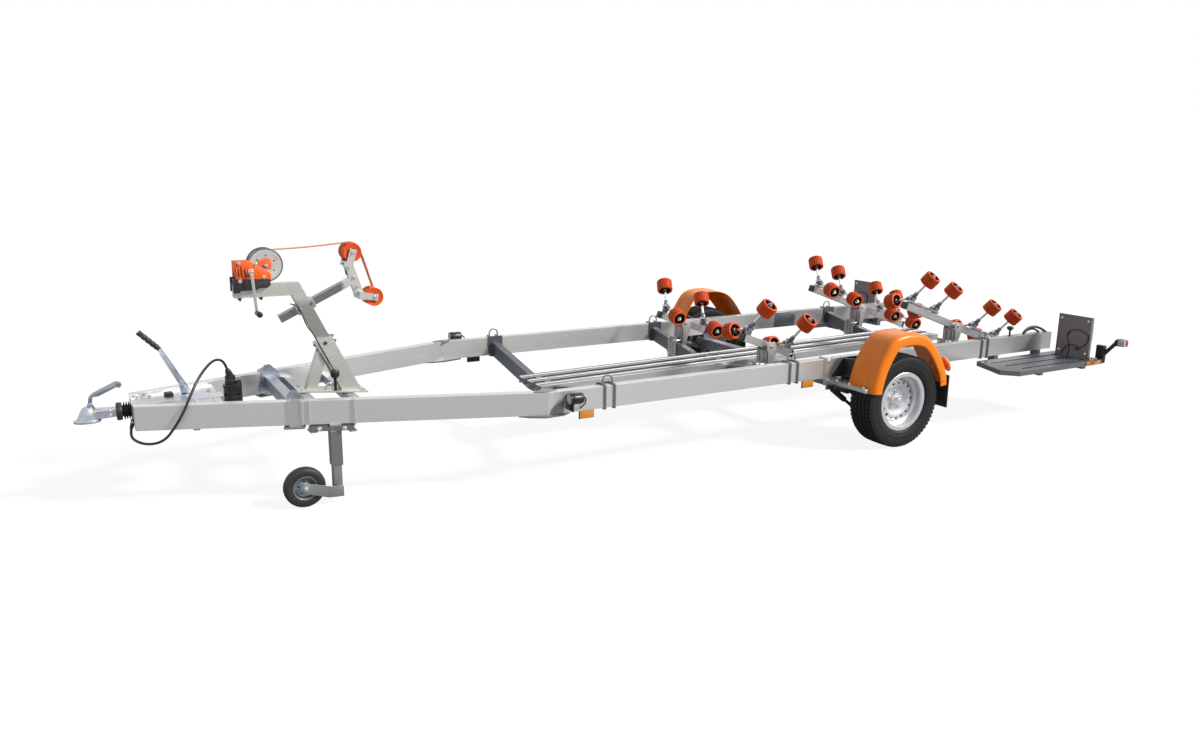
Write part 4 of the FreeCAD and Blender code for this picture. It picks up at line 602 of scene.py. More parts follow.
def moved_to(mesh, place, axis):
    """A copy of a mesh made along Z that lies along an axis at a place."""
    shape = bmesh.new()
    shape.from_mesh(mesh)
    turn = Vector((0, 0, 1)).rotation_difference(Vector(axis).normalized()).to_matrix().to_4x4()
    bmesh.ops.transform(shape, matrix=Matrix.Translation(Vector(place)) @ turn, verts=shape.verts)
    return shape


def both_ways(half, *middle):
    """A profile of (radius, along) points and its mirror image."""
    return half + list(middle) + [(radius, -along) for radius, along in reversed(half)]


roller_orange = moulded("roller polyurethane", (0.84, 0.090, 0.008), 0.42, 0.06, 0.15,
                        dust=(0.85, 0.25, 0.12), Specular_IOR_Level=0.3)
# The dark red floor between the roller's ribs is painted shade in the grooves.
groove_shade = moulded("roller groove shade", (0.13, 0.009, 0.003), 0.6, 0.02, 0.2)
# Black nylon; the same black also stands for the shade in the winch case's slots and the jockey rim's holes:
# painted shade.
black_nylon_and_shade = moulded("black nylon", (0.011, 0.011, 0.012), 0.33, 0.04, 0.1)
bright_zinc = zinc("bright zinc", (0.86, 0.86, 0.84), (0.60, 0.60, 0.57), 0.20, 1.0, 600.0, 0.0004)
roller_ribs, rib_half, rib_width, rib_rise = 24, 0.0372, 0.0049, 0.0026
rib_stamp = stamp_of("roller rib", slab(bmesh.new(), [
    (-rib_half, 0), (-rib_half + 0.003, rib_rise), (rib_half - 0.003, rib_rise), (rib_half, 0),
    (rib_half, -0.002), (-rib_half, -0.002)], "x", -rib_width, rib_width))
roller_core = lathe(bmesh.new(), both_ways([
    (0.0098, -0.036), (0.019, -0.036), (0.02, -0.0345), (0.0206, -0.011), (0.025, -0.0065),
    (0.0395, -0.0065), (0.0415, -0.01), (0.0418, -0.0385), (0.044, -0.0395),
]), steps=36, ring=True)
for spoke in range(6):
    angle = math.pi * spoke / 3
    outward = Vector((math.cos(angle), math.sin(angle), 0))
    for low, high in ((0.006, 0.028), (-0.028, -0.006)):
        middle = Vector((0, 0, (low + high) / 2))
        bar(roller_core, middle + outward * 0.0195, middle + outward * 0.042, 0.004, high - low, 0.0,
            (-outward.y, outward.x, 0))
roller_parts = [
    (template("roller tyre", lathe(bmesh.new(), both_ways([
        (0.0435, -0.0405), (0.045, -0.042), (0.054, -0.042), (0.0562, -0.0412), (0.0572, -0.0392),
        (0.0578, -0.0372), (0.0545, -0.0362)]), steps=48, ring=True)), roller_orange),
    # The band under the ribs is dark: painted shade.
    (template("roller band", lathe(bmesh.new(), both_ways([(0.054, -0.0364), (0.0551, -0.0364)]),
                                   steps=48, ring=True)), groove_shade),
    (ring_mesh("roller ribs", rib_stamp, roller_orange, roller_ribs, 0.0564, (0.92, 1.0, 1.0)),
     roller_orange),
    (template("roller core", roller_core), black_nylon_and_shade),
]
roller_joints = [joint for joint in frame["joints"] if joint["name"].startswith("roller_")]
for joint in roller_joints:
    placed("wheel_of_" + joint["child"], [(moved_to(mesh, joint["pos_m"], joint["axis"]), made)
                                          for mesh, made in roller_parts],
           "orange_roller", joint["child"], body=joint["child"])


# The rocking beams: open box beams on through pins, with flat saddles, dark cast stands and
# bright rods. Black caps close their ends, and a nut and star clip hold each roller.
beam_zinc = zinc("rocker beam zinc", (0.66, 0.67, 0.66), (0.44, 0.45, 0.46), 0.34, 0.8, 160.0, 0.0012)
dark_zinc = zinc("dark zinc", (0.26, 0.27, 0.29), (0.13, 0.14, 0.16), 0.36, 0.85, 300.0, 0.001)
nut_shape = lathe(bmesh.new(), [(0, 0), (1.35, 0), (1.35, 0.16), (1.3, 0.2), (0, 0.2)], steps=20)
lathe(nut_shape, [(0, 0.2), (0.96, 0.2), (1.0, 0.28), (1.0, 0.92), (0.9, 1.02), (0, 1.02)], steps=6)
lathe(nut_shape, [(0, 1.0), (0.52, 1.0), (0.52, 1.36), (0.42, 1.46), (0, 1.46)], steps=12)
nut_stamp = stamp_of("nut on its stud", nut_shape)


def nuts(spots, across, made=bright_zinc):
    """Hexagon nuts with washers and stud ends, and their finish; across is the nut's outer radius."""
    return at_spots(nut_stamp, made, spots, (across, across, across)), made


star_points = []
for tip in range(10):
    reach = 0.0105 if tip % 2 else 0.0185
    star_points.append((reach * math.cos(math.pi * tip / 5), reach * math.sin(math.pi * tip / 5)))
star_stamp = stamp_of("star clip", slab(bmesh.new(), star_points, "z", -0.0008, 0.0008, 0.0004))
rocker_tilt, rod_reach, middle_half, rear_half = math.radians(19.4), 0.184, 0.235, 0.585
beam_along = Vector((math.cos(rocker_tilt), 0, -math.sin(rocker_tilt)))
beam_up = Vector((math.sin(rocker_tilt), 0, math.cos(rocker_tilt)))
for joint in frame["joints"]:
    if not joint["name"].startswith("rocker_"):
        continue
    beam, pivot = joint["child"], Vector(joint["pos_m"])
    coat(beam, beam_zinc)
    nut_spots, star_spots, forks = [], [], set()
    stands, rods, caps = bmesh.new(), bmesh.new(), bmesh.new()
    for other in roller_joints:
        if other["parent"] != beam:
            continue
        centre, axis = Vector(other["pos_m"]), Vector(other["axis"])
        fork = centre - axis * rod_reach
        forks.add(tuple(round(part, 4) for part in fork))
        nut_spots += [(centre + axis * 0.0425, axis), (centre - axis * 0.0375, -axis)]
        star_spots += [(centre + axis * 0.0372, axis)]
        lathe(stands, [(0.0095, 0.014), (0.015, 0.014), (0.0165, 0.018), (0.015, 0.046), (0.0125, 0.052),
                       (0.0095, 0.052)], fork, axis, 16, ring=True)
        lathe(rods, [(0.0093, 0.05), (0.0099, 0.05), (0.0099, 0.14), (0.0093, 0.14)], fork, axis, 16,
              ring=True)
    for fork in forks:
        fork = Vector(fork)
        lathe(stands, both_ways([(0.0, -0.0262), (0.0165, -0.0262), (0.018, -0.0245)]),
              fork, beam_along, 20)
        bar(stands, fork - beam_up * 0.052, fork - beam_up * 0.012, 0.033, 0.035, 0.003)
        nut_spots += [(fork + beam_along * (0.0262 * end), beam_along * end) for end in (-1, 1)]
    half_length = middle_half if "middle" in beam else rear_half
    for end in (-1, 1):
        tip = pivot + beam_along * (half_length * end)
        bar(caps, tip - beam_along * (0.022 * end), tip + beam_along * (0.003 * end), 0.0465, 0.0525, 0.003)
    placed("fittings_of_" + beam, [
        (stands, dark_zinc), (rods, bright_zinc), nuts(nut_spots, 0.0085),
        (at_spots(star_stamp, bright_zinc, star_spots), bright_zinc), (caps, black_nylon_and_shade),
    ], "galvanised", body=beam)


# The road wheels: black radial tyres with four grooves and siped tread blocks, on silver pressed
# steel wheels with a deep barrel, sixteen round holes, five bolts and a grease cap.
tyre_black = moulded("tyre rubber", (0.012, 0.012, 0.013), 0.58, 0.10, 0.45,
                     dust=(0.12, 0.11, 0.10), Specular_IOR_Level=0.28)
wheel_silver = zinc("wheel paint", (0.74, 0.75, 0.77), (0.62, 0.63, 0.66), 0.30, 0.55, 900.0, 0.001)
drum_black = moulded("brake drum", (0.035, 0.035, 0.037), 0.50, 0.25, 0.6, metallic=0.5)
tread_block = stamp_of("tread block", block(bmesh.new(), -0.5, 0.5, -0.5, 0.5, -0.5, 0.5, 0.07))
tyre_wall = [
    (0.07, 0.178), (0.077, 0.1785), (0.079, 0.195), (0.0835, 0.2035), (0.089, 0.2085),
    (0.09, 0.2105), (0.0925, 0.2115), (0.0948, 0.22), (0.0962, 0.23), (0.0968, 0.231),
    (0.0974, 0.24), (0.0974, 0.252), (0.0968, 0.262), (0.0972, 0.263), (0.0966, 0.274),
    (0.0952, 0.28), (0.0955, 0.2812), (0.0935, 0.289), (0.0905, 0.297), (0.086, 0.302),
    (0.08, 0.3045), (0.07, 0.3058), (0.06, 0.3066), (0.03, 0.3072),
]
tyre_profile = both_ways([(radius, -along) for along, radius in tyre_wall], (0.3074, 0.0))
tyre_profile += both_ways([(0.27, 0.085), (0.295, 0.06)], (0.298, 0.0))
tyre_meshes = [template("tyre body", lathe(bmesh.new(), tyre_profile, steps=96, ring=True))]
tread_count, tread_radius, block_share = 66, 0.3145, 0.86
block_length = 2 * math.pi * tread_radius / tread_count * block_share
for across, width, radius, phase in (
    (0.0, 0.024, 0.3108, 0.0), (0.033, 0.023, 0.3105, 0.35), (-0.033, 0.023, 0.3105, 0.7),
    (0.064, 0.027, 0.3088, 0.15), (-0.064, 0.027, 0.3088, 0.5),
):
    tyre_meshes.append(ring_mesh("tread row", tread_block, tyre_black, tread_count, radius,
                                 (block_length, width, 0.007), across, phase * 2 * math.pi / tread_count))
for edge in (-1, 1):
    tyre_meshes.append(ring_mesh("shoulder row", tread_block, tyre_black, tread_count, 0.301,
                                 (0.02, 0.015, 0.011), edge * 0.0835, 0.02))

barrel_profile = [
    (0.178, -0.0765), (0.196, -0.0765), (0.1978, -0.0785), (0.1978, -0.0815), (0.196, -0.083),
    (0.1715, -0.083), (0.17, -0.08), (0.1695, -0.052), (0.164, -0.045), (0.148, -0.037),
    (0.146, -0.033), (0.146, 0.017), (0.148, 0.0225), (0.162, 0.033), (0.168, 0.039),
    (0.1695, 0.06), (0.17, 0.08), (0.1715, 0.083), (0.1955, 0.084), (0.1978, 0.0825),
    (0.1982, 0.079), (0.196, 0.0765), (0.178, 0.0765), (0.174, 0.074), (0.1735, 0.043),
    (0.15, 0.028), (0.15, -0.03), (0.1735, -0.046), (0.174, -0.074),
]


def around(radius, turn, height):
    return radius * math.cos(turn), radius * math.sin(turn), height


def height_at(table, radius):
    """The height that a table of (radius, height) pairs gives at a radius."""
    for (r0, z0), (r1, z1) in zip(table, table[1:]):
        if r0 <= radius <= r1:
            return z0 + (z1 - z0) * (radius - r0) / (r1 - r0)
    return table[-1][1]


def holed_disc(shape, crown, sheet, holes, pitch_radius, hole_radius, inner, outer, steps=32):
    """Revolved disc of a sheet's thickness with a ring of round holes: the flat round each is a fan."""
    sector = 2 * math.pi / holes
    for index in range(holes):
        hole, square = [], []
        for k in range(steps):
            angle = 2 * math.pi * k / steps
            ca, sa = math.cos(angle), math.sin(angle)
            hole.append((pitch_radius + hole_radius * ca, hole_radius * sa / pitch_radius))
            stretch = 1 / max(abs(ca), abs(sa))
            reach = (outer - pitch_radius) if ca > 0 else (pitch_radius - inner)
            square.append((pitch_radius + reach * ca * stretch, sector / 2 * sa * stretch))
        walls = []
        for drop in (0.0, sheet):
            near, far = [[around(radius, index * sector + turn, height_at(crown, radius) - drop)
                          for radius, turn in ring] for ring in (hole, square)]
            near, far = [[shape.verts.new(point) for point in ring] for ring in (near, far)]
            bridge(shape, near, far)
            walls.append(near)
        bridge(shape, *walls)


rim_shape, disc_sheet = bmesh.new(), 0.0045
lathe(rim_shape, barrel_profile, steps=72, ring=True)
holed_disc(rim_shape, ((0.11, 0.0318), (0.118, 0.033), (0.126, 0.0322), (0.134, 0.029), (0.138, 0.0263)),
           disc_sheet, 16, 0.124, 0.0105, 0.110, 0.138)
disc_turns = [math.pi / 8 * index + math.pi / 16 * math.tan(math.pi / 16 * step)
              for index in range(16) for step in range(-4, 4)]
for table, open_end in (
    ([(0.0425, 0.0085), (0.07, 0.0085), (0.078, 0.01), (0.086, 0.023), (0.096, 0.029), (0.11, 0.0318)], 0),
    ([(0.138, 0.0263), (0.1435, 0.0225), (0.1465, 0.017)], -1),
):
    back_side = [(radius, height - disc_sheet) for radius, height in table]
    for line in (table, back_side, (table[open_end], back_side[open_end])):
        loops = [[rim_shape.verts.new(around(radius, turn, height)) for turn in disc_turns]
                 for radius, height in line]
        for low, high in zip(loops, loops[1:]):
            bridge(rim_shape, low, high)
bolt_shape = lathe(bmesh.new(), [
    (0, -0.006), (0.0105, -0.006), (0.0145, 0.002), (0.0145, 0.004), (0, 0.004)], steps=18)
lathe(bolt_shape, [(0, 0.004), (0.0108, 0.004), (0.0108, 0.014), (0.0095, 0.0155), (0, 0.0155)], steps=6)
bolt_stamp = stamp_of("wheel bolt", bolt_shape)
bolt_circle, bolt_seat = 0.056, 0.0085
bolt_spots = [(around(bolt_circle, 2 * math.pi * k / 5 + 0.3, bolt_seat), (0, 0, 1)) for k in range(5)]
wheel_parts = [
    (template("wheel body", rim_shape), wheel_silver),
    (template("hub and cap", lathe(bmesh.new(), [
        (0.0, 0.054), (0.018, 0.054), (0.0215, 0.052), (0.0235, 0.048), (0.024, 0.03), (0.025, 0.029),
        (0.026, 0.025), (0.03, 0.023), (0.04, 0.022), (0.0425, 0.019), (0.0425, 0.0), (0.0, 0.0),
    ], steps=36)), wheel_silver),
    (template("wheel bolts", at_spots(bolt_stamp, bright_zinc, bolt_spots)), bright_zinc),
    (template("brake drum", lathe(bmesh.new(), [
        (0.0206, -0.163), (0.118, -0.163), (0.125, -0.16), (0.125, -0.104), (0.1225, -0.102),
        (0.1225, -0.09), (0.125, -0.088), (0.1245, -0.026), (0.118, -0.0205), (0.076, -0.008),
        (0.07, -0.004), (0.07, 0.003), (0.0206, 0.003),
    ], steps=48, ring=True)), drum_black),
]
for name, side in (("left", -1), ("right", 1)):
    where = next(joint["pos_m"] for joint in frame["joints"] if joint["name"] == "wheel_spin_" + name)
    for piece, parts, slot, stands_for in (
        ("road_tyre_", [(mesh, tyre_black) for mesh in tyre_meshes], "tyre_rubber", "tyre_"),
        ("road_wheel_", wheel_parts, "wheel_steel", "rim_"),
    ):
        placed(piece + name, [(moved_to(mesh, where, (0, side, 0)), made) for mesh, made in parts],
               slot, stands_for + name, body="wheel_" + name)


# The mudguards: pressed arches in glossy orange plastic. A raised bead runs round near the
# outer edge, the skirt rolls down the outer side, and its lip is turned back on itself.
guard_orange = moulded("mudguard plastic", (0.98, 0.235, 0.0), 0.30, 0.02, 0.05, dust=(0.80, 0.45, 0.20),
                       Specular_IOR_Level=0.35, Coat_Weight=0.12)
axle_x = 1.3775
guard_line = (
    (-0.31, 0.402), (-0.3085, 0.425), (-0.306, 0.448), (-0.286, 0.52), (-0.262, 0.585), (-0.226, 0.65),
    (-0.184, 0.712), (-0.15, 0.745), (-0.112, 0.765), (-0.05, 0.776), (0.018, 0.778), (0.08, 0.772),
    (0.136, 0.757), (0.182, 0.734), (0.22, 0.704), (0.276, 0.64), (0.33, 0.562), (0.364, 0.5),
    (0.382, 0.44), (0.384, 0.42), (0.386, 0.402),
)
guard_section = (
    (0.99, 0.01), (0.9904, 0.0058), (0.993, 0.0046), (1.045, 0.0042), (1.1, 0.0044), (1.146, 0.005),
    (1.152, 0.0042), (1.156, 0.0012), (1.16, 0.0), (1.165, 0.0006), (1.17, 0.0018), (1.18, 0.0012),
    (1.19, 0.0012), (1.2, 0.003), (1.209, 0.008), (1.2165, 0.0155), (1.2215, 0.025), (1.224, 0.035),
    (1.2248, 0.048), (1.2248, 0.069), (1.224, 0.0755), (1.2215, 0.0785), (1.2185, 0.079),
)
guard_sheet = 0.003


def smooth_line(points, each=6):
    """Catmull-Rom curve through points, as a denser list of them."""
    points = [Vector(point) for point in points]
    line = []
    for k in range(len(points) - 1):
        p0, p1 = points[max(k - 1, 0)], points[k]
        p2, p3 = points[k + 1], points[min(k + 2, len(points) - 1)]
        for step in range(each):
            t = step / each
            line.append(0.5 * (2 * p1 + (p2 - p0) * t + (2 * p0 - 5 * p1 + 4 * p2 - p3) * t * t
                               + (3 * p1 - p0 - 3 * p2 + p3) * t ** 3))
    line.append(points[-1])
    return line


def guard_shell(side):
    """Sweeps the guard's section, with its thickness, along the arch; insets run to the hub."""
    shape = bmesh.new()
    under = []
    for k, (across, inset) in enumerate(guard_section):
        ahead = guard_section[min(k + 1, len(guard_section) - 1)]
        back = guard_section[max(k - 1, 0)]
        length = math.hypot(ahead[0] - back[0], ahead[1] - back[1])
        under.append((across - guard_sheet * (ahead[1] - back[1]) / length,
                      inset + guard_sheet * (ahead[0] - back[0]) / length))
    closed = list(guard_section) + under[::-1]
    arch = smooth_line([(reach, 0, height) for reach, height in guard_line], 4)
    rings = []
    for k, point in enumerate(arch):
        run = (arch[min(k + 1, len(arch) - 1)] - arch[max(k - 1, 0)]).normalized()
        inward = Vector((run.z, 0, -run.x))
        rings.append([(axle_x + point.x + inward.x * inset, side * across, point.z + inward.z * inset)
                      for across, inset in closed])
    skin_rings(shape, rings)
    return shape


bump_lamp_orange = moulded("amber lens", (0.95, 0.225, 0.002), 0.25, 0.03, 0.10, Coat_Weight=0.5)
bump_at, along_guard, bump_stretch = Vector((1.7527, 0, 0.5344)), Vector((0.524, 0, -0.852)), 0.65
for name, side in (("left", -1), ("right", 1)):
    bump = lathe(bmesh.new(), [
        (0, -0.004), (0.036, -0.004), (0.037, 0.004), (0.035, 0.01), (0.028, 0.017), (0.015, 0.021),
        (0, 0.022),
    ], bump_at + Vector((0, side * 1.19, 0)), (0.52, side * 0.10, 0.32), 24)
    for vert in bump.verts:
        vert.co += along_guard * bump_stretch * (vert.co - bump_at).dot(along_guard)
    placed("mudguard_" + name, [(guard_shell(side), guard_orange), (bump, bump_lamp_orange)],
           "orange_plastic", *(["mudguards"] if side < 0 else []), crease=50)


# The mudguards' carriers: a flat arm from a clamped plate on the side member, a black gusset
# behind it, and a thin black rubber flap that hangs behind the tyre. A black sheet on the side
# member's outer face, under the guard's front, stands for the guard's shadow: painted shadow.
def span(side, near, far):
    """Both ends of a stretch across one side of the trailer, the lower one first."""
    return sorted((side * near, side * far))


bracket_zinc = zinc("bracket zinc", (0.70, 0.71, 0.69), (0.48, 0.49, 0.49), 0.36, 0.7, 120.0, 0.001)
# Black paint; the same black also makes sheets that stand for shade and shadow behind the post webs, on the
# post's edge and on the side members: painted shade.
black_paint_and_shade = moulded("black paint and painted shade", (0.018, 0.018, 0.020), 0.38, 0.15, 0.2)
coat("mudguard_brackets", bracket_zinc)
clamp_x = axle_x - 0.306 - 0.006 - 0.079
for side, name in ((-1, "left"), (1, "right")):
    flap = bmesh.new()
    block(flap, axle_x + 0.3858, axle_x + 0.3932, *span(side, 0.9935, 1.2195), 0.2346, 0.4604, 0.0012)
    for rib in range(3):
        low = 0.262 + 0.03 * rib
        block(flap, axle_x + 0.393, axle_x + 0.3945, *span(side, 1.01, 1.202), low, low + 0.006, 0.0006)
    fin = bmesh.new()
    slab(fin, [(side * 0.8705, 0.4545), (side * 0.8705, 0.5755), (side * 0.9, 0.5755),
               (side * 0.9995, 0.5895), (side * 0.9995, 0.5605), (side * 0.93, 0.4545)], "x",
         axle_x - 0.2478, axle_x - 0.2402, 0.0008)
    # A black sheet on the side member's outer face under the guard's front: painted shadow.
    slab(fin, [(1.03, 0.452), (1.036, 0.47), (1.128, 0.577), (1.16, 0.579), (1.245, 0.579),
               (1.26, 0.452)], "y", *span(side, 0.8704, 0.8744), 0.0008)
    trim = bmesh.new()
    block(trim, clamp_x - 0.013, clamp_x + 0.013, *span(side, 0.8795, 0.8835), 0.418, 0.585, 0.0012)
    spots = [((clamp_x, side * 0.8835, z), (0, side, 0)) for z in (0.44, 0.566)]
    spots += [((axle_x - 0.327, side * y, 0.4322), (0, 0, 1)) for y in (0.905, 1.02, 1.15)]
    caps = bmesh.new()
    block(caps, axle_x - 0.3475, axle_x - 0.3165, *span(side, 1.166, 1.183), 0.4065, 0.4335, 0.002)
    placed("mudguard_fittings_" + name, [
        (flap, rubber), (fin, black_paint_and_shade), (trim, bracket_zinc), nuts(spots, 0.009),
        (caps, bracket_zinc),
    ], "galvanised")


# The ball coupling: a cast head over the ball with a wide lip, three plain marks on its side,
# and a pressed lifting handle that leans back over the gaiter.
def oval(x, half_x, half_y, z, count=48, square=2.0):
    ring = []
    for k in range(count):
        angle = 2 * math.pi * k / count
        ca, sa = math.cos(angle), math.sin(angle)
        reach = (abs(ca) ** square + abs(sa) ** square) ** (-1 / square)
        ring.append((x + half_x * ca * reach, half_y * sa * reach, z))
    return ring


# The cast head's wide bluish bright and dark blotches stand for reflections on it: painted reflection.
cast_zinc = zinc("cast coupling, painted reflections", (0.62, 0.66, 0.72), (0.32, 0.37, 0.45), 0.27, 0.85, 260.0, 0.001)
handle_zinc = zinc("lifting handle", (0.42, 0.45, 0.50), (0.20, 0.23, 0.27), 0.24, 1.0, 400.0, 0.0006)
ball_x = -3.3565
head_shape = skin_rings(bmesh.new(), [oval(ball_x + back, half_x, half_y, z) for back, half_x, half_y, z in (
    (0.0, 0.0262, 0.0262, 0.52), (0.0, 0.0262, 0.0262, 0.483), (0.0, 0.028, 0.028, 0.4822),
    (0.0, 0.064, 0.0435, 0.4822), (0.0, 0.0658, 0.045, 0.484), (0.0, 0.066, 0.045, 0.4915),
    (0.0, 0.0645, 0.0435, 0.4938), (0.001, 0.059, 0.0415, 0.495), (0.002, 0.0545, 0.0402, 0.5),
    (0.004, 0.049, 0.0392, 0.508), (0.006, 0.043, 0.0375, 0.525), (0.007, 0.0375, 0.0345, 0.542),
    (0.008, 0.03, 0.028, 0.556), (0.008, 0.019, 0.018, 0.565), (0.008, 0.006, 0.006, 0.5682),
)])
neck_shape = bmesh.new()
neck_rings = []
for reach, half, low, high in (
    (-3.34, 0.029, 0.495, 0.554), (-3.305, 0.03, 0.496, 0.553), (-3.265, 0.028, 0.4985, 0.5515),
    (-3.24, 0.0268, 0.4995, 0.5508), (-3.2176, 0.026, 0.5, 0.55),
):
    middle, rise = (low + high) / 2, (high - low) / 2
    neck_rings.append([(reach, x - reach, middle + y)
                       for x, y, _ in oval(reach, half, rise, 0.0, 40, 5.0)])
skin_rings(neck_shape, neck_rings)
for low in (0.508, 0.54):
    bar(neck_shape, (-3.325, -0.029, low), (-3.235, -0.0268, low - 0.001), 0.003, 0.005, 0.001)
handle_shape = bmesh.new()
handle_line = smooth_line([(-3.336, 0, 0.548), (-3.334, 0, 0.57), (-3.3345, 0, 0.595), (-3.33, 0, 0.615),
                           (-3.315, 0, 0.628), (-3.295, 0, 0.636), (-3.25, 0, 0.656), (-3.21, 0, 0.674),
                           (-3.198, 0, 0.6795)], 4)
handle_radii = [0.0095 + 0.0035 * min(1.0, max(0.0, (point.x + 3.33) / 0.05)) for point in handle_line]
pipe(handle_shape, handle_line, handle_radii, 20)
for side in (-1, 1):
    slab(handle_shape, [(-3.318, 0.618), (-3.296, 0.618), (-3.2, 0.661), (-3.196, 0.673), (-3.204, 0.68),
                        (-3.315, 0.633)], "y", side * 0.0125 - 0.0012, side * 0.0125 + 0.0012, 0.0008)
lathe(handle_shape, [(0, -0.015), (0.012, -0.015), (0.015, -0.012), (0.015, 0.012), (0.012, 0.015),
                     (0, 0.015)], (-3.195, 0, 0.67), (0, 1, 0), 20)
slab(handle_shape, [(-3.356, 0.55), (-3.312, 0.545), (-3.318, 0.564), (-3.328, 0.586), (-3.344, 0.588),
                    (-3.352, 0.57)], "y", -0.0135, 0.0135, 0.003)
coupling_marks = []
for (x, z), colour in (((-3.352, 0.532), (0.75, 0.76, 0.76)), ((-3.32, 0.537), (0.85, 0.60, 0.05)),
                       ((-3.3, 0.534), (0.60, 0.04, 0.03))):
    mark = bmesh.new()
    lathe(mark, [(0, -0.01), (0.0048, -0.01), (0.0048, 0.0008), (0.004, 0.0014), (0, 0.0014)],
          (x, -0.03 if x > -3.34 else -0.035, z), (0, -1, 0.1), 16)
    coupling_marks.append((mark, moulded("coupling mark", colour, 0.35, 0.05, 0.1)))
neck_spots = [((-3.247, side * 0.027, z), (0, side, 0)) for side in (-1, 1) for z in (0.537, 0.512)]
placed("ball_coupling", [(head_shape, cast_zinc), (neck_shape, cast_zinc), (handle_shape, handle_zinc),
                         nuts(neck_spots, 0.0085)] + coupling_marks,
       "zinc_plated", "coupling_head")


# The gaiter: a black rubber bellows with a thick collar at its front, held by a clip, that keeps
# grit off the coupling's shaft.
gaiter_shape = bmesh.new()
gaiter_profile = [(0.0265, 0.0005), (0.044, 0.0005), (0.047, 0.0025), (0.0478, 0.006), (0.0478, 0.023),
                  (0.0465, 0.0262), (0.044, 0.028), (0.03, 0.029), (0.0295, 0.033)]
for fold in range(3):
    start = 0.0345 + fold * 0.0118
    gaiter_profile += [(0.031, start), (0.046, start + 0.003), (0.049, start + 0.0048),
                       (0.046, start + 0.0066), (0.031, start + 0.0096)]
gaiter_profile += [(0.031, 0.07), (0.04, 0.0712), (0.04, 0.0728), (0.0265, 0.0728)]
gaiter_front = (-3.2175, 0, 0.524)
lathe(gaiter_shape, gaiter_profile, gaiter_front, (1, 0, 0), 48, ring=True)
gaiter_clip = bmesh.new()
lathe(gaiter_clip, [(0.0474, 0.01), (0.0486, 0.01), (0.0486, 0.015), (0.0474, 0.015)],
      gaiter_front, (1, 0, 0), 48, ring=True)
placed("shaft_gaiter", [(gaiter_shape, rubber), (gaiter_clip, black_paint_and_shade)], "black_rubber", "gaiter")


# The overrun housing and its handbrake: a pressed blade of bright zinc on a small foot, with a
# black finger grip and a chromed release button; a rubber pad lies on the housing's plate.
housing_zinc = zinc("housing zinc", (0.66, 0.68, 0.71), (0.40, 0.42, 0.46), 0.30, 0.85, 150.0, 0.0015)
coat("overrun_housing", housing_zinc)
pad_shape = bmesh.new()
block(pad_shape, -2.972, -2.926, 0.06, 0.118, 0.5575, 0.578, 0.003)
block(pad_shape, -2.966, -2.932, 0.066, 0.112, 0.5775, 0.58, 0.001)
plate_spots = [((x, side * y, 0.5582), (0, 0, 1)) for side in (-1, 1)
               for x, y in ((-3.105, 0.098), (-3.045, 0.105), (-2.835, 0.115), (-2.74, 0.125))]
placed("housing_trim", [(pad_shape, rubber), nuts(plate_spots, 0.0105)], "galvanised")

lever_zinc = zinc("bright lever", (0.74, 0.80, 0.88), (0.42, 0.48, 0.57), 0.18, 1.0, 300.0, 0.0006)
lever_shape = bmesh.new()
lever_outline = [(-2.8915, 0.579), (-2.842, 0.587), (-2.848, 0.61), (-2.9755, 0.8545), (-2.9972, 0.845),
                 (-2.902, 0.645)]
slab(lever_shape, lever_outline, "y", -0.0125, -0.0105, 0.0006)
for k in (2, 4, 5):
    a, b = lever_outline[k], lever_outline[(k + 1) % 6]
    bar(lever_shape, (a[0], -0.016, a[1]), (b[0], -0.016, b[1]), 0.009, 0.0022, 0.0006)
bar(lever_shape, (-2.873, -0.0135, 0.62), (-2.982, -0.0135, 0.835), 0.003, 0.0085, 0.0012)
block(lever_shape, -2.9005, -2.8325, -0.03, -0.002, 0.5622, 0.565, 0.0006)
for y in (-0.029, -0.0052):
    slab(lever_shape, [(-2.899, 0.563), (-2.834, 0.563), (-2.844, 0.5835), (-2.889, 0.5835)], "y",
         y, y + 0.003, 0.0006)
grip_start, grip_end = Vector((-2.9835, -0.016, 0.846)), Vector((-3.0785, -0.016, 0.944))
grip_run, grip_steps = grip_end - grip_start, 40
grip_points, grip_radii = [], []
for step in range(grip_steps + 1):
    share = step / grip_steps
    grip_points.append(grip_start + grip_run * share)
    ridge = 0.0028 * abs(math.sin(math.pi * 5 * share)) if 0.08 < share < 0.88 else 0.0
    end_round = 0.0155 if share > 0.90 else 0.0128
    grip_radii.append((end_round + ridge) * (0.86 if step in (0, grip_steps) else 1.0))
grip_shape = bmesh.new()
pipe(grip_shape, grip_points, grip_radii, 20)
button = bmesh.new()
lathe(button, [(0, 0), (0.0062, 0), (0.0062, 0.005), (0.005, 0.0062), (0, 0.0062)], grip_end, grip_run, 16)
lever_spots = [((-2.8665, -0.0292, 0.5745), (0, -1, 0)), ((-2.956, -0.013, 0.802), (0, -1, 0))]
placed("handbrake", [(lever_shape, lever_zinc), (grip_shape, rubber), (button, bright_zinc),
                     nuts(lever_spots, 0.0062)],
       "zinc_plated", "handbrake_lever")


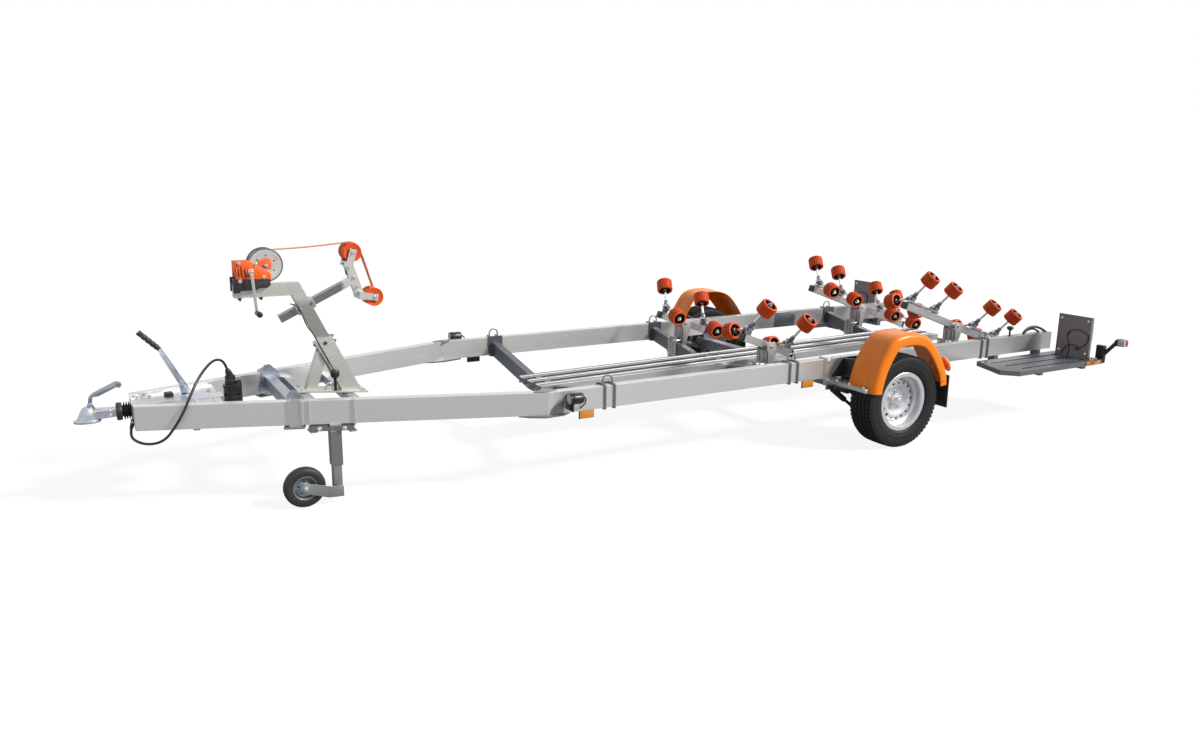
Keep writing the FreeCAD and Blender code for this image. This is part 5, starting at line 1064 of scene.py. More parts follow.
# The winch: an orange pressed gear case on a black cradle, a pale flanged drum full of webbing,
# and a bent zinc crank with a black knob, bolted through the arm of the post.
winch_orange = moulded("winch enamel", (0.95, 0.125, 0.006), 0.28, 0.02, 0.06, Coat_Weight=0.15)
drum_grey = zinc("drum flange", (0.74, 0.74, 0.72), (0.58, 0.58, 0.56), 0.32, 0.6, 200.0, 0.0006)
drum_x, drum_z, crank_x, crank_z = -2.4115, 1.271, -2.4985, 1.244
case_outline = [(-2.5775, 1.202), (-2.3915, 1.195), (-2.3925, 1.227), (-2.4, 1.237), (-2.464, 1.283),
                (-2.49, 1.298), (-2.515, 1.306), (-2.564, 1.3065), (-2.574, 1.303), (-2.578, 1.292)]
case_shape = bmesh.new()
slab(case_shape, case_outline, "y", -0.0705, -0.0412, 0.0045)
slab(case_shape, [(-2.464, 1.292), (-2.404, 1.3105), (-2.385, 1.304), (-2.386, 1.242), (-2.396, 1.247),
                  (-2.456, 1.286)], "y", -0.05, -0.044, 0.002)
slab(case_shape, [(-2.5775, 1.171), (-2.3915, 1.171), (-2.39, 1.26), (-2.404, 1.3085), (-2.464, 1.296),
                  (-2.5775, 1.296)], "y", 0.0415, 0.047, 0.0015)
for rib_x in (-2.571, -2.556, -2.541):
    slab(case_shape, [(rib_x, 1.21), (rib_x + 0.005, 1.21), (rib_x - 0.001, 1.29), (rib_x - 0.005, 1.29)],
         "y", -0.074, -0.07, 0.0012)
lathe(case_shape, [(0, 0), (0.031, 0), (0.031, 0.003), (0.027, 0.0075), (0.0, 0.0075)],
      (crank_x, -0.07, crank_z), (0, -1, 0), 32)
# Black strips in the case's slots between its fins: painted shade.
case_slot_shade = bmesh.new()
for outline in (
    [(-2.5765, 1.288), (-2.56, 1.288), (-2.568, 1.274), (-2.5755, 1.26)],
    [(-2.565, 1.256), (-2.561, 1.26), (-2.56, 1.216), (-2.567, 1.22)],
    [(-2.551, 1.268), (-2.546, 1.272), (-2.544, 1.214), (-2.551, 1.218)],
    [(-2.536, 1.248), (-2.525, 1.26), (-2.518, 1.24), (-2.5, 1.224), (-2.486, 1.212),
     (-2.528, 1.216)],
):
    slab(case_slot_shade, outline, "y", -0.0713, -0.07, 0.0)
case_spots = [((x, -0.0706, z), (0, -1, 0)) for x, z in (
    (-2.556, 1.29), (-2.43, 1.21), (-2.556, 1.192), (-2.469, 1.284))]
case_spots += [((drum_x, -0.0508, drum_z), (0, -1, 0)), ((drum_x, 0.0472, drum_z), (0, 1, 0))]
placed("winch_case", [(case_shape, winch_orange), (case_slot_shade, black_nylon_and_shade),
                      nuts(case_spots, 0.008)], "orange_paint", "winch_frame")
cradle_shape = bmesh.new()
cradle_outline = [(-2.5915, 1.2045), (-2.3935, 1.198), (-2.396, 1.162), (-2.413, 1.148), (-2.46, 1.148),
                  (-2.472, 1.138), (-2.552, 1.14), (-2.564, 1.1255), (-2.5915, 1.1255)]
for side in (-1, 1):
    slab(cradle_shape, cradle_outline, "y", *span(side, 0.041, 0.062), 0.002)
block(cradle_shape, -2.5915, -2.3935, -0.047, 0.047, 1.1652, 1.1708, 0.0012)
cradle_spots = [((x, y, 1.094), (0, 0, -1)) for x in (-2.556, -2.444) for y in (-0.022, 0.022)]
stud_shape = bmesh.new()
for x in (-2.556, -2.444):
    for y in (-0.022, 0.022):
        lathe(stud_shape, [(0, 1.076), (0.005, 1.076), (0.005, 1.0945), (0, 1.0945)], (x, y, 0), steps=10)
placed("winch_cradle", [(cradle_shape, black_paint_and_shade), nuts(cradle_spots, 0.009, black_paint_and_shade),
                        (stud_shape, black_paint_and_shade)], "black_plastic")
drum_shape = bmesh.new()
for side in (-1, 1):
    lathe(drum_shape, [
        (0.018, 0.0315), (0.06, 0.0315), (0.07, 0.033), (0.086, 0.033), (0.086, 0.0352),
        (0.07, 0.0352), (0.06, 0.034), (0.018, 0.034),
    ], (drum_x, 0, drum_z), (0, side, 0), 64, ring=True)
drum_rim = bmesh.new()
for side in (-1, 1):
    lathe(drum_rim, [(0.0855, 0.0315), (0.0925, 0.031), (0.094, 0.0325), (0.094, 0.035), (0.0925, 0.0362),
                     (0.0855, 0.0356)], (drum_x, 0, drum_z), (0, side, 0), 64, ring=True)
lathe(drum_rim, [(0, -0.054), (0.0125, -0.054), (0.0125, 0.05), (0, 0.05)],
      (drum_x, 0, drum_z), (0, -1, 0), 20)
drum_marks = bmesh.new()
for k in range(6):
    angle = 2 * math.pi * k / 6 + 0.45
    lathe(drum_marks, [(0, 0), (0.0045, 0), (0.0045, 0.0004), (0, 0.0004)],
          (drum_x + 0.052 * math.cos(angle), -0.034, drum_z + 0.052 * math.sin(angle)), (0, -1, 0), 12)
drum_slot = bar(bmesh.new(), (drum_x + 0.056, -0.0352, drum_z + 0.046),
                (drum_x + 0.067, -0.0352, drum_z + 0.028), 0.0012, 0.0065, 0.0004)
placed("winch_drum", [(drum_shape, drum_grey), (drum_rim, dark_zinc), (drum_marks, black_nylon_and_shade),
                      (drum_slot, winch_orange)], "zinc_plated")

crank_shape = bmesh.new()
lathe(crank_shape, [(0, 0), (0.015, 0), (0.016, 0.004), (0.016, 0.016), (0.0125, 0.02), (0.0125, 0.027),
                    (0, 0.027)], (crank_x, -0.0745, crank_z), (0, -1, 0), 24)
crank_line = smooth_line([(crank_x, -0.0965, 1.254), (crank_x, -0.098, crank_z), (-2.4975, -0.0995, 1.225),
                          (-2.495, -0.1, 1.18), (-2.49, -0.099, 1.1), (-2.486, -0.098, 1.04),
                          (-2.4845, -0.0985, 1.015)], 4)
crank_rings = []
for k, point in enumerate(crank_line):
    run = (crank_line[min(k + 1, len(crank_line) - 1)] - crank_line[max(k - 1, 0)]).normalized()
    across = run.cross(Vector((0, 1, 0))).normalized()
    deep = across.cross(run)
    wide = 0.0105 - 0.0035 * k / len(crank_line)
    crank_rings.append([point + across * (wide * math.cos(2 * math.pi * j / 16))
                        + deep * (0.0034 * math.sin(2 * math.pi * j / 16)) for j in range(16)])
skin_rings(crank_shape, crank_rings)
knob_shape = lathe(bmesh.new(), [
    (0, 0.002), (0.01, 0.002), (0.014, 0.006), (0.015, 0.012), (0.0125, 0.022), (0.0105, 0.034),
    (0.0105, 0.05), (0.013, 0.062), (0.0162, 0.074), (0.0165, 0.082), (0.014, 0.089), (0.007, 0.092),
    (0, 0.092),
], (-2.4845, -0.099, 1.0195), (0, -1, 0), 28)
placed("winch_handle", [(crank_shape, bright_zinc), (knob_shape, gloss_black),
                        nuts([((crank_x, -0.101, crank_z), (0, -1, 0))], 0.0075)],
       "zinc_plated", "winch_crank")


# The winch strap: orange polyester webbing, wound in many turns on the drum, stretched over the
# upper bow roller and down to a sewn loop at the lower one.
def webbing_group():
    """Woven webbing: fine ribs across the band, paler along the weave and in cloudy patches, and a darker
    weft.
    """
    group, given, place = surface_group("webbing weave", {
        "Thread": (0.9, 0.3, 0.1, 1), "Weft": (0.6, 0.15, 0.05, 1), "Pitch": 900.0})
    wave = node(group, "ShaderNodeTexWave", {"Vector": place, "Scale": given["Pitch"]},
                bands_direction="DIAGONAL").outputs["Fac"]
    blend = sum_of(group, (wave, 0.5), (noise(group, place, 60.0, 4.0), 0.6))
    return finish_group(group, blended(group, blend, given["Weft"], given["Thread"]),
                        ranged(group, blend, 0.0, 1.0, 0.9, 0.7),
                        Strength=0.5, Distance=0.0005, Height=blend)


webbing_weave = webbing_group()


def woven(name, thread, weft, pitch, **sockets):
    return skinned(finish(name, thread, 0.8, **sockets), webbing_weave,
                   Thread=(*thread, 1), Weft=(*weft, 1), Pitch=pitch)


strap_weave = woven("orange webbing", (0.90, 0.26, 0.07), (0.60, 0.11, 0.025), 700.0, Sheen_Weight=0.3)
pale_thread = woven("pale stitching", (0.55, 0.62, 0.74), (0.22, 0.30, 0.52), 900.0)


def ribbon(line, half, thick):
    """Flat band along a line of (x, z) points, half wide each side of the middle."""
    rings, edge = [], half - 0.0012
    for k, (x, z) in enumerate(line):
        ahead, back = line[min(k + 1, len(line) - 1)], line[max(k - 1, 0)]
        run = Vector((ahead[0] - back[0], 0, ahead[1] - back[1])).normalized()
        up = Vector((-run.z, 0, run.x)) * (thick / 2)
        rings.append([Vector((x, y, z)) + up * rise for y, rise in (
            (-edge, 1), (edge, 1), (half, 0), (edge, -1), (-edge, -1), (-half, 0))])
    return skin_rings(bmesh.new(), rings)


def over(x, z, radius, turns):
    """Points about a centre, turned by degrees from straight above it."""
    return [(x + radius * math.sin(math.radians(turn)), z + radius * math.cos(math.radians(turn)))
            for turn in turns]


def between(start, end, shares):
    return [(start[0] + (end[0] - start[0]) * share, start[1] + (end[1] - start[1]) * share)
            for share in shares]


upper_x, upper_z, lower_x, lower_z = -1.9335, 1.324, -1.8155, 1.06
wound_steps = []
for layer in range(12):
    radius, edge = 0.0795 - 0.0042 * layer, 0.0275 - 0.001 * (layer % 2)
    wound_steps += [(radius, edge), (radius - 0.0036, edge), (radius - 0.0039, 0.0255)]
wound_half = [(0.0245, -0.0255)] + [(radius, -along) for radius, along in reversed(wound_steps)]
wound_shape = lathe(bmesh.new(), both_ways(wound_half), (drum_x, 0, drum_z), (0, 1, 0), 56, ring=True)
strap_line = over(drum_x - 0.0015, drum_z, 0.0794, (-24, -16, -8, 0))
shares = (0.15, 0.3, 0.45, 0.6, 0.75, 0.9)
taut = between((drum_x, drum_z + 0.0798), (upper_x, upper_z + 0.0562), shares)
strap_line += [(x, z - 0.006 * math.sin(math.pi * share)) for share, (x, z) in zip(shares, taut)]
strap_line += over(upper_x, upper_z, 0.0562, (-8, 0, 10, 22, 34, 46, 58, 66))
drop = strap_line[-1], (lower_x + 0.005, lower_z + 0.0585)
strap_line += between(*drop, (0.2, 0.45, 0.7, 0.9, 1.0))
strap_shape = ribbon(strap_line, 0.025, 0.004)
sewn = [(x + 0.0022, z + 0.001) for x, z in between(*drop, (0.22, 0.36, 0.5, 0.6))]
stitch_shape = ribbon(sewn, 0.0246, 0.0022)
placed("winch_webbing", [
    (wound_shape, strap_weave), (strap_shape, strap_weave), (stitch_shape, pale_thread),
], "orange_webbing", "winch_strap")


# The bow rollers: two waisted orange rollers that take the boat's stem, with black inner cheeks
# and bright washers, on a bracket of pale flat bar that a black clamp joins to the sliding arm.
bow_shape = bmesh.new()
bow_cheeks = bmesh.new()
bow_spots = []
for x, z in ((upper_x, upper_z), (lower_x, lower_z)):
    lathe(bow_shape, both_ways([
        (0.009, -0.052), (0.044, -0.052), (0.049, -0.0545), (0.052, -0.055), (0.0538, -0.053),
        (0.054, -0.042), (0.053, -0.034), (0.0495, -0.026), (0.0465, -0.016),
    ], (0.046, 0.0)), (x, 0, z), (0, 1, 0), 56, ring=True)
    for side in (-1, 1):
        lathe(bow_cheeks, [(0.009, 0.0518), (0.023, 0.0518), (0.024, 0.054), (0.023, 0.056), (0.009, 0.056)],
              (x, 0, z), (0, side, 0), 28, ring=True)
        bow_spots.append(((x, side * 0.0652, z), (0, side, 0)))
placed("bow_wheels", [(bow_shape, roller_orange), (bow_cheeks, black_nylon_and_shade)], "orange_roller", "bow_rollers")
bow_black = bmesh.new()
bow_top = Vector((-1.9525, 0, 1.262))
bow_run = (Vector((-1.8905, 0, 1.072)) - bow_top).normalized()
clamp_at = bow_top + bow_run * 0.006
bar(bow_black, clamp_at - bow_run * 0.012, clamp_at + bow_run * 0.01, 0.056, 0.056, 0.002)
bar(bow_black, bow_top + Vector((-0.018, 0.0, 0.01)), bow_top + bow_run * 0.075 + Vector((-0.0265, 0, 0)),
    0.042, 0.008, 0.002)
bow_spots += [(bow_top + bow_run * drop + Vector((0, -0.0222, 0)), (0, -1, 0)) for drop in (0.092, 0.15)]
placed("bow_bracket_fittings", [(bow_black, black_paint_and_shade), nuts(bow_spots, 0.0095)], "galvanised")
arm_zinc = zinc("slotted arm zinc", (0.76, 0.76, 0.74), (0.60, 0.60, 0.59), 0.33, 0.7, 180.0, 0.001)
coat("bow_arm", darker_past(arm_zinc, "X", -1.985, -2.000, 0.42))
lean = math.radians(25.5)
post_down = Vector((math.sin(lean), 0, -math.cos(lean)))
post_across = Vector((math.cos(lean), 0, math.sin(lean)))
post_top = Vector((-2.2575, 0, 1.13))
sleeve = post_top + post_down * 0.115
arm_grooves = bmesh.new()
for side in (-1, 1):
    for rise in (-0.011, 0.0, 0.011):
        line = sleeve - post_down * rise + Vector((0, side * 0.0221, 0))
        for low, high in ((-0.153, -0.062), (0.062, 0.252)):
            bar(arm_grooves, line + post_across * low, line + post_across * high, 0.001, 0.0038, 0.0)
placed("bow_arm_grooves", [(arm_grooves, black_paint_and_shade)], "galvanised")


# The winch post: square tube, mitred under the winch arm, in a folded steel shoe whose straps
# and bolts let it slide, on a sloping base plate between the two front crosstubes.
post_zinc = zinc("winch post zinc", (0.70, 0.69, 0.65), (0.46, 0.46, 0.43), 0.35, 0.65, 130.0, 0.0015)
darker_past(post_zinc, "Z", 1.075, 1.03, 0.58)
coat("winch_post", darker_past(post_zinc, "Z", 0.85, 0.835, 1.85))
post_trim = bmesh.new()
for drop in (0.338, 0.372):
    at = post_top + post_down * drop - post_across * 0.006
    bar(post_trim, at - post_across * 0.0535, at + post_across * 0.0535, 0.082, 0.0075, 0.0012)
post_black_and_shade = bmesh.new()
for side in (-1, 1):
    lathe(post_black_and_shade, [(0.0, 0.0), (0.0105, 0.0), (0.0105, 0.006), (0.0, 0.006)],
          post_top + post_down * 0.355 - post_across * 0.006 + Vector((0, side * 0.04, 0)), (0, side, 0), 6)
cord_line = smooth_line([(-2.296, -0.044, 1.049), (-2.26, -0.048, 1.033), (-2.235, -0.046, 0.988),
                         (-2.211, -0.044, 0.919), (-2.176, -0.043, 0.863), (-2.134, -0.043, 0.777),
                         (-2.099, -0.044, 0.705), (-2.072, -0.056, 0.645)], 5)
pipe(post_black_and_shade, cord_line, 0.0032, 10)
# A thin black bar along the lower post's outer edge stands for its shaded side face: painted shade.
shade_line_start = post_top + post_down * 0.392 - post_across * 0.0575 + Vector((0, -0.0385, 0))
shade_line_end = post_top + post_down * 0.69 - post_across * 0.0575 + Vector((0, -0.0385, 0))
bar(post_black_and_shade, shade_line_start, shade_line_end, 0.003, 0.005, 0.0)
post_spots = []
for drop in (0.338, 0.372):
    for end in (-1, 1):
        post_spots.append((post_top + post_down * drop + post_across * (0.0535 * end - 0.006)
                           + Vector((0, -0.026, 0)), post_across * end))
for end in (-1, 1):
    post_spots.append((sleeve + post_across * (0.036 * end) + Vector((0, -0.0305, 0)), (0, -1, 0)))
clip_shape = bmesh.new()
for low in (-0.0525, 0.048):
    start = sleeve + post_across * low
    bar(clip_shape, start, start + post_across * 0.005, 0.064, 0.064, 0.001)
mitre_ridge = bmesh.new()
bar(mitre_ridge, post_top + Vector((0.0215, -0.0352, 0.034)), post_top + Vector((-0.0215, -0.0352, -0.034)),
    0.0012, 0.003, 0.0)
placed("winch_post_fittings", [
    (post_trim, bracket_zinc), (post_black_and_shade, black_paint_and_shade), nuts(post_spots, 0.0085, dark_zinc),
    (clip_shape, bright_zinc), (mitre_ridge, bracket_zinc),
], "galvanised")
knob_stand = bmesh.new()
lathe(knob_stand, [(0, 0.52), (0.009, 0.52), (0.009, 0.596), (0.014, 0.6), (0.024, 0.608),
                   (0.0265, 0.62), (0.0265, 0.638), (0.0225, 0.646), (0.011, 0.65), (0, 0.65)],
      (-2.069, -0.056, 0.0), (0, 0, 1), 28)
shackle = bmesh.new()
pipe(shackle, smooth_line([(-2.125, -0.062, 0.525), (-2.129, -0.064, 0.548), (-2.118, -0.066, 0.57),
                           (-2.1, -0.066, 0.574), (-2.088, -0.064, 0.556), (-2.09, -0.062, 0.524)], 5),
     0.0045, 12)
pipe(shackle, [(-2.13, -0.062, 0.533), (-2.085, -0.062, 0.531)], 0.004, 10)
base_slope = 0.104
base_spots = [((x, y, 0.546 - (x + 2.2845) * base_slope), (base_slope, 0, 1))
              for x in (-2.262, -1.905) for y in (-0.055, 0.055)]
placed("winch_base_fittings", [(knob_stand, gloss_black), (shackle, bright_zinc), nuts(base_spots, 0.0105)],
       "zinc_plated")


# The roller posts: folded channels behind the middle and rear crossmembers, each with a web
# pierced by two columns of adjusting holes, clamped by a plate and four bolts, with one pin.
def pierced_sheet(shape, corner, across, upward, columns, rows, thickness):
    """Flat sheet of cells; each cell is (width, hole) by (height, hole), holed where both say so."""
    corner, across, upward = Vector(corner), Vector(across), Vector(upward)
    whole, shape, ring = shape, bmesh.new(), 16
    left = 0.0
    for width, col_hole in columns:
        low = 0.0
        for height, row_hole in rows:
            base = corner + across * left + upward * low
            corners = [base, base + across * width, base + across * width + upward * height,
                       base + upward * height]
            if col_hole and row_hole:
                middle = (corners[0] + corners[2]) / 2
                outer, inner = [], []
                for k in range(ring):
                    side, step = divmod(k, ring // 4)
                    edge = corners[side].lerp(corners[(side + 1) % 4], step / (ring // 4))
                    outer.append(shape.verts.new(edge))
                    angle = 2 * math.pi * k / ring - 3 * math.pi / 4
                    inner.append(shape.verts.new(
                        middle + (across * math.cos(angle) + upward * math.sin(angle)) * col_hole))
                bridge(shape, outer, inner)
            else:
                shape.faces.new([shape.verts.new(point) for point in corners])
            low += height
        left += width
    bmesh.ops.remove_doubles(shape, verts=shape.verts, dist=1e-5)
    grown_out = bmesh.ops.extrude_face_region(shape, geom=list(shape.faces))["geom"]
    moved = [item for item in grown_out if isinstance(item, bmesh.types.BMVert)]
    bmesh.ops.translate(shape, verts=moved, vec=across.cross(upward).normalized() * thickness)
    held = template("held", shape)
    whole.from_mesh(held)
    bpy.data.meshes.remove(held)


post_sheet_zinc = zinc("roller post zinc", (0.56, 0.56, 0.55), (0.38, 0.38, 0.38), 0.36, 0.75, 150.0, 0.001)
cross_xs, post_y, hole_pitch = (0.6975, 2.5375), 0.51, 0.013
post_shape, post_webs, post_shade_liner, pin_shape = [bmesh.new() for _ in range(4)]
post_spots = []
for cross_x in cross_xs:
    for side in (-1, 1):
        x0, low = cross_x + 0.025, 0.3559
        pierced_sheet(post_webs, (x0, side * post_y - 0.055, low), (0, 1, 0), (0, 0, 1),
                      [(0.024, 0), (hole_pitch, 0.0053), (0.036, 0), (hole_pitch, 0.0053), (0.024, 0)],
                      [(0.1206, 0)] + [(hole_pitch, 1)] * 9 + [(0.0055, 0)], 0.006)
        # A black sheet inside each channel behind its holed web, so the holes show dark: painted shade.
        block(post_shade_liner, x0 + 0.0065, x0 + 0.0075, side * post_y - 0.042, side * post_y + 0.042,
              low + 0.115, 0.597, 0.0)
        cheek = [(x0, low), (x0, 0.648), (x0 + 0.018, 0.664), (x0 + 0.074, 0.65), (x0 + 0.088, 0.606),
                 (x0 + 0.044, 0.5), (x0 + 0.044, low)]
        for reach in (0.455, 0.559):
            slab(post_shape, cheek, "y", *span(side, reach, reach + 0.006), 0.0012)
        pierced_sheet(post_webs, (cross_x - 0.033, side * post_y - 0.055, low), (0, 1, 0), (0, 0, 1),
                      [(0.029, 0), (hole_pitch, 0.0052), (0.026, 0), (hole_pitch, 0.0052), (0.029, 0)],
                      [(0.006, 0)] + [(hole_pitch, 1)] * 12 + [(0.0101, 0)], 0.008)
        # A black sheet behind the front plate's holes: painted shade.
        block(post_shade_liner, cross_x - 0.0262, cross_x - 0.0254, side * post_y - 0.035, side * post_y + 0.035,
              low + 0.005, 0.52, 0.0)
        lathe(pin_shape, [(0, 0.455), (0.01, 0.455), (0.01, 0.565), (0, 0.565)],
              (cross_x + 0.06, 0, 0.63), (0, side, 0), 20)
        post_spots += [((cross_x + 0.06, side * 0.565, 0.63), (0, side, 0)),
                       ((cross_x + 0.06, side * 0.455, 0.63), (0, -side, 0))]
        for reach, top in ((0.473, 0.485), (0.547, 0.4988)):
            for z in (top + 0.014, top - 0.114):
                lathe(pin_shape, [(0, -0.033), (0.006, -0.033), (0.006, 0.031), (0, 0.031)],
                      (cross_x, side * reach, z), (1, 0, 0), 12)
                post_spots += [((cross_x - 0.033, side * reach, z), (-1, 0, 0)),
                               ((cross_x + 0.031, side * reach, z), (1, 0, 0))]
placed("post_channels", [
    (post_shape, post_sheet_zinc), (post_webs, post_sheet_zinc), (pin_shape, bright_zinc),
    nuts(post_spots, 0.0098), (post_shade_liner, black_paint_and_shade),
], "galvanised", "roller_posts")


# The walkway's tread: three rolled planks, smooth and pale on top, with short bright ties in the
# gaps over the frame. The rolled shoulders beside the gaps and the faces down into them are
# near-black: painted shade.
edge_zinc = zinc("plank ties", (0.86, 0.86, 0.85), (0.74, 0.74, 0.72), 0.34, 0.6, 200.0, 0.0006)
# Near-black for the shoulders and gap faces: painted shade.
shoulder_shade_zinc = zinc("plank shoulder shade", (0.10, 0.105, 0.11), (0.08, 0.085, 0.09), 0.40, 0.6, 200.0, 0.0)
plank_front, plank_low, plank_rise, plank_pitch = -0.7875, 0.435, 0.0142, 0.12467


def plank_top(x):
    return plank_low + (x - plank_front) * plank_rise


def plank_strip(shape, near_y, far_y, low, high):
    """A strip along a plank, between two heights measured from the plank's sloping top."""
    front, back = -0.787, 2.832
    slab(shape, [(front, plank_top(front) + low), (back, plank_top(back) + low),
                 (back, plank_top(back) + high), (front, plank_top(front) + high)], "y", near_y, far_y)


shoulder_shape, tie_shape = bmesh.new(), bmesh.new()
for plank in range(3):
    low_y = -0.175 + plank * plank_pitch
    for start in (0.0, 0.0873) if plank else (0.0873,):
        plank_strip(shoulder_shape, low_y + start, low_y + start + 0.013, -0.002, 0.0008)
    plank_strip(shoulder_shape, low_y + 0.046, low_y + 0.05, -0.002, 0.0006)
    if plank:
        plank_strip(shoulder_shape, low_y - 0.001, low_y + 0.0002, -0.038, 0.0008)
for cross_x in (-0.6875, 0.6975, 2.5375):
    for gap in (-0.0743, 0.0503):
        block(tie_shape, cross_x - 0.022, cross_x + 0.022, gap + 0.0012, gap + 0.0228,
              plank_top(cross_x) - 0.007, plank_top(cross_x) - 0.0015, 0.0008)
placed("walkway_treads", [(shoulder_shape, shoulder_shade_zinc), (tie_shape, edge_zinc)], "galvanised")


# The running gear below: a dull zinc axle, black dampers with a fat upper cover that hang from
# bolted plates, and a dark sheet on the inner face of each side member behind the axle that
# stands for a shadow there: painted shadow.
coat("axle", zinc("axle zinc", (0.26, 0.27, 0.29), (0.14, 0.15, 0.17), 0.42, 0.8))
gear_black, shadow_plate, gear_hanger, hanger_spots = bmesh.new(), bmesh.new(), bmesh.new(), []
for side in (-1, 1):
    eye, lug = Vector((1.005, side * 0.892, 0.39)), Vector((1.26, side * 0.9, 0.198))
    bar(gear_black, lug - Vector((0.004, 0, 0.012)), (1.295, side * 0.892, 0.316), 0.036, 0.01, 0.001)
    run = (lug - eye).normalized()
    pipe(gear_black, [eye + run * 0.0235, eye + run * 0.026, eye + run * 0.163, eye + run * 0.1655],
         [0.015, 0.0196, 0.0196, 0.015], 24)
    pipe(gear_black, [eye + run * 0.16, lug - run * 0.01], 0.0106, 16)
    lathe(gear_black, both_ways([(0, -0.014), (0.0155, -0.014), (0.0165, -0.012)]), eye, (0, 1, 0), 20)
    # The dark sheet on the side member's inner face: painted shadow.
    slab(shadow_plate, [(1.92, 0.4525), (1.93, 0.5775), (2.07, 0.5775), (2.15, 0.545), (2.15, 0.4525)],
         "y", *span(side, 0.8078, 0.8102), 0.0004)
    block(gear_hanger, 0.9815, 1.0265, *span(side, 0.8705, 0.8765), 0.37, 0.596, 0.0015)
    hanger_spots += [((1.004, side * 0.8765, z), (0, side, 0)) for z in (0.572, 0.435)]
placed("running_gear_trim", [
    (gear_black, black_paint_and_shade), (shadow_plate, shadow_plate_zinc), (gear_hanger, bracket_zinc),
    nuts(hanger_spots, 0.0085),
], "black_plastic")


# The tail: dark galvanised slotted steps and grey lamp boards with their wiring clipped to the
# front face, a hoop of hose over the side member and a black clamping knob.
step_zinc = zinc("side step zinc", (0.22, 0.235, 0.25), (0.14, 0.15, 0.165), 0.42, 0.75, 120.0, 0.0015)
coat("side_platforms", step_zinc)
# The lips inside the steps' slots are near-black: painted shade in the slots.
slot_shade_zinc = zinc("slot lip shade", (0.06, 0.065, 0.072), (0.04, 0.044, 0.05), 0.45, 0.5, 120.0, 0.0)
slot_lips = bmesh.new()
for side in (-1, 1):
    for slot in range(3):
        start, near = 2.4725 + 0.03 * slot, 0.882 + 0.386 * (slot + 0.75) / 3.4
        for y in (near, near + 0.0205):
            block(slot_lips, start, 3.3325, *span(side, y, y + 0.0015), 0.408, 0.4272, 0.0)
placed("platform_slot_lips", [(slot_lips, slot_shade_zinc)], "galvanised")
# Grey paint with a faint pink cast; the pink is a painted reflection.
board_grey = moulded("lamp board paint, painted pink reflection", (0.255, 0.220, 0.222), 0.40, 0.4, 0.1, dust=(0.34, 0.30, 0.30))
coat("lamp_boards", board_grey)
wiring, board_trim, board_spots = bmesh.new(), bmesh.new(), []
for side in (-1, 1):
    for route in (
        [(1.056, 0.609), (1.08, 0.634), (1.13, 0.642), (1.18, 0.632), (1.221, 0.608)],
        [(1.143, 0.504), (1.1, 0.524), (1.06, 0.512), (1.03, 0.484), (1.012, 0.44)],
        [(1.056, 0.609), (1.05, 0.57), (1.068, 0.52), (1.072, 0.47), (1.062, 0.432)],
        [(1.221, 0.608), (1.214, 0.56), (1.18, 0.52), (1.143, 0.504)],
    ):
        pipe(wiring, smooth_line([(3.2435, side * y, z) for y, z in route], 5), 0.0034, 10)
    for y, z, radius in ((1.056, 0.609, 0.0085), (1.221, 0.608, 0.0085), (1.143, 0.504, 0.015)):
        lathe(wiring, [(0, -0.002), (radius, -0.002), (radius, 0.006), (radius * 0.7, 0.0095), (0, 0.0095)],
              (3.2475, side * y, z), (-1, 0, 0), 20)
    for z in (0.4275, 0.7442):
        block(board_trim, 3.244, 3.2545, *span(side, 0.9615, 1.2305), z, z + 0.003, 0.0008)
    for y in (0.961, 1.2275):
        block(board_trim, 3.244, 3.255, *span(side, y, y + 0.003), 0.428, 0.7468, 0.0008)
    board_spots += [((3.2473, side * y, z), (-1, 0, 0)) for y in (0.985, 1.205) for z in (0.47, 0.715)]
    board_spots += [((x, side * y, 0.4284), (0, 0, 1)) for x in (3.272, 3.345) for y in (0.93, 1.235)]
hose = bmesh.new()
pipe(hose, smooth_line([(3.005, -0.84, 0.572), (3.018, -0.84, 0.6), (3.07, -0.842, 0.627),
                        (3.135, -0.845, 0.629), (3.205, -0.85, 0.608), (3.25, -0.858, 0.578)], 6),
     0.0095, 14)
pipe(hose, smooth_line([(3.028, -0.826, 0.572), (3.042, -0.826, 0.592), (3.09, -0.826, 0.61),
                        (3.14, -0.828, 0.609), (3.19, -0.83, 0.588), (3.205, -0.832, 0.572)], 6), 0.008, 14)
lathe(hose, [(0, 0.576), (0.012, 0.576), (0.012, 0.584), (0.007, 0.588), (0.007, 0.622), (0.015, 0.63),
             (0.024, 0.638), (0.0255, 0.648), (0.018, 0.656), (0, 0.656)], (2.833, -0.85, 0), steps=20)
rail_ends = bmesh.new()
for side in (-1, 1):
    block(rail_ends, 3.3015, 3.3055, *span(side, 0.8095, 0.8705), 0.4495, 0.5805, 0.0015)
placed("tail_trim", [(wiring, rubber), (hose, rubber), (board_trim, step_zinc), nuts(board_spots, 0.0075),
                     (rail_ends, black_paint_and_shade)], "black_rubber")


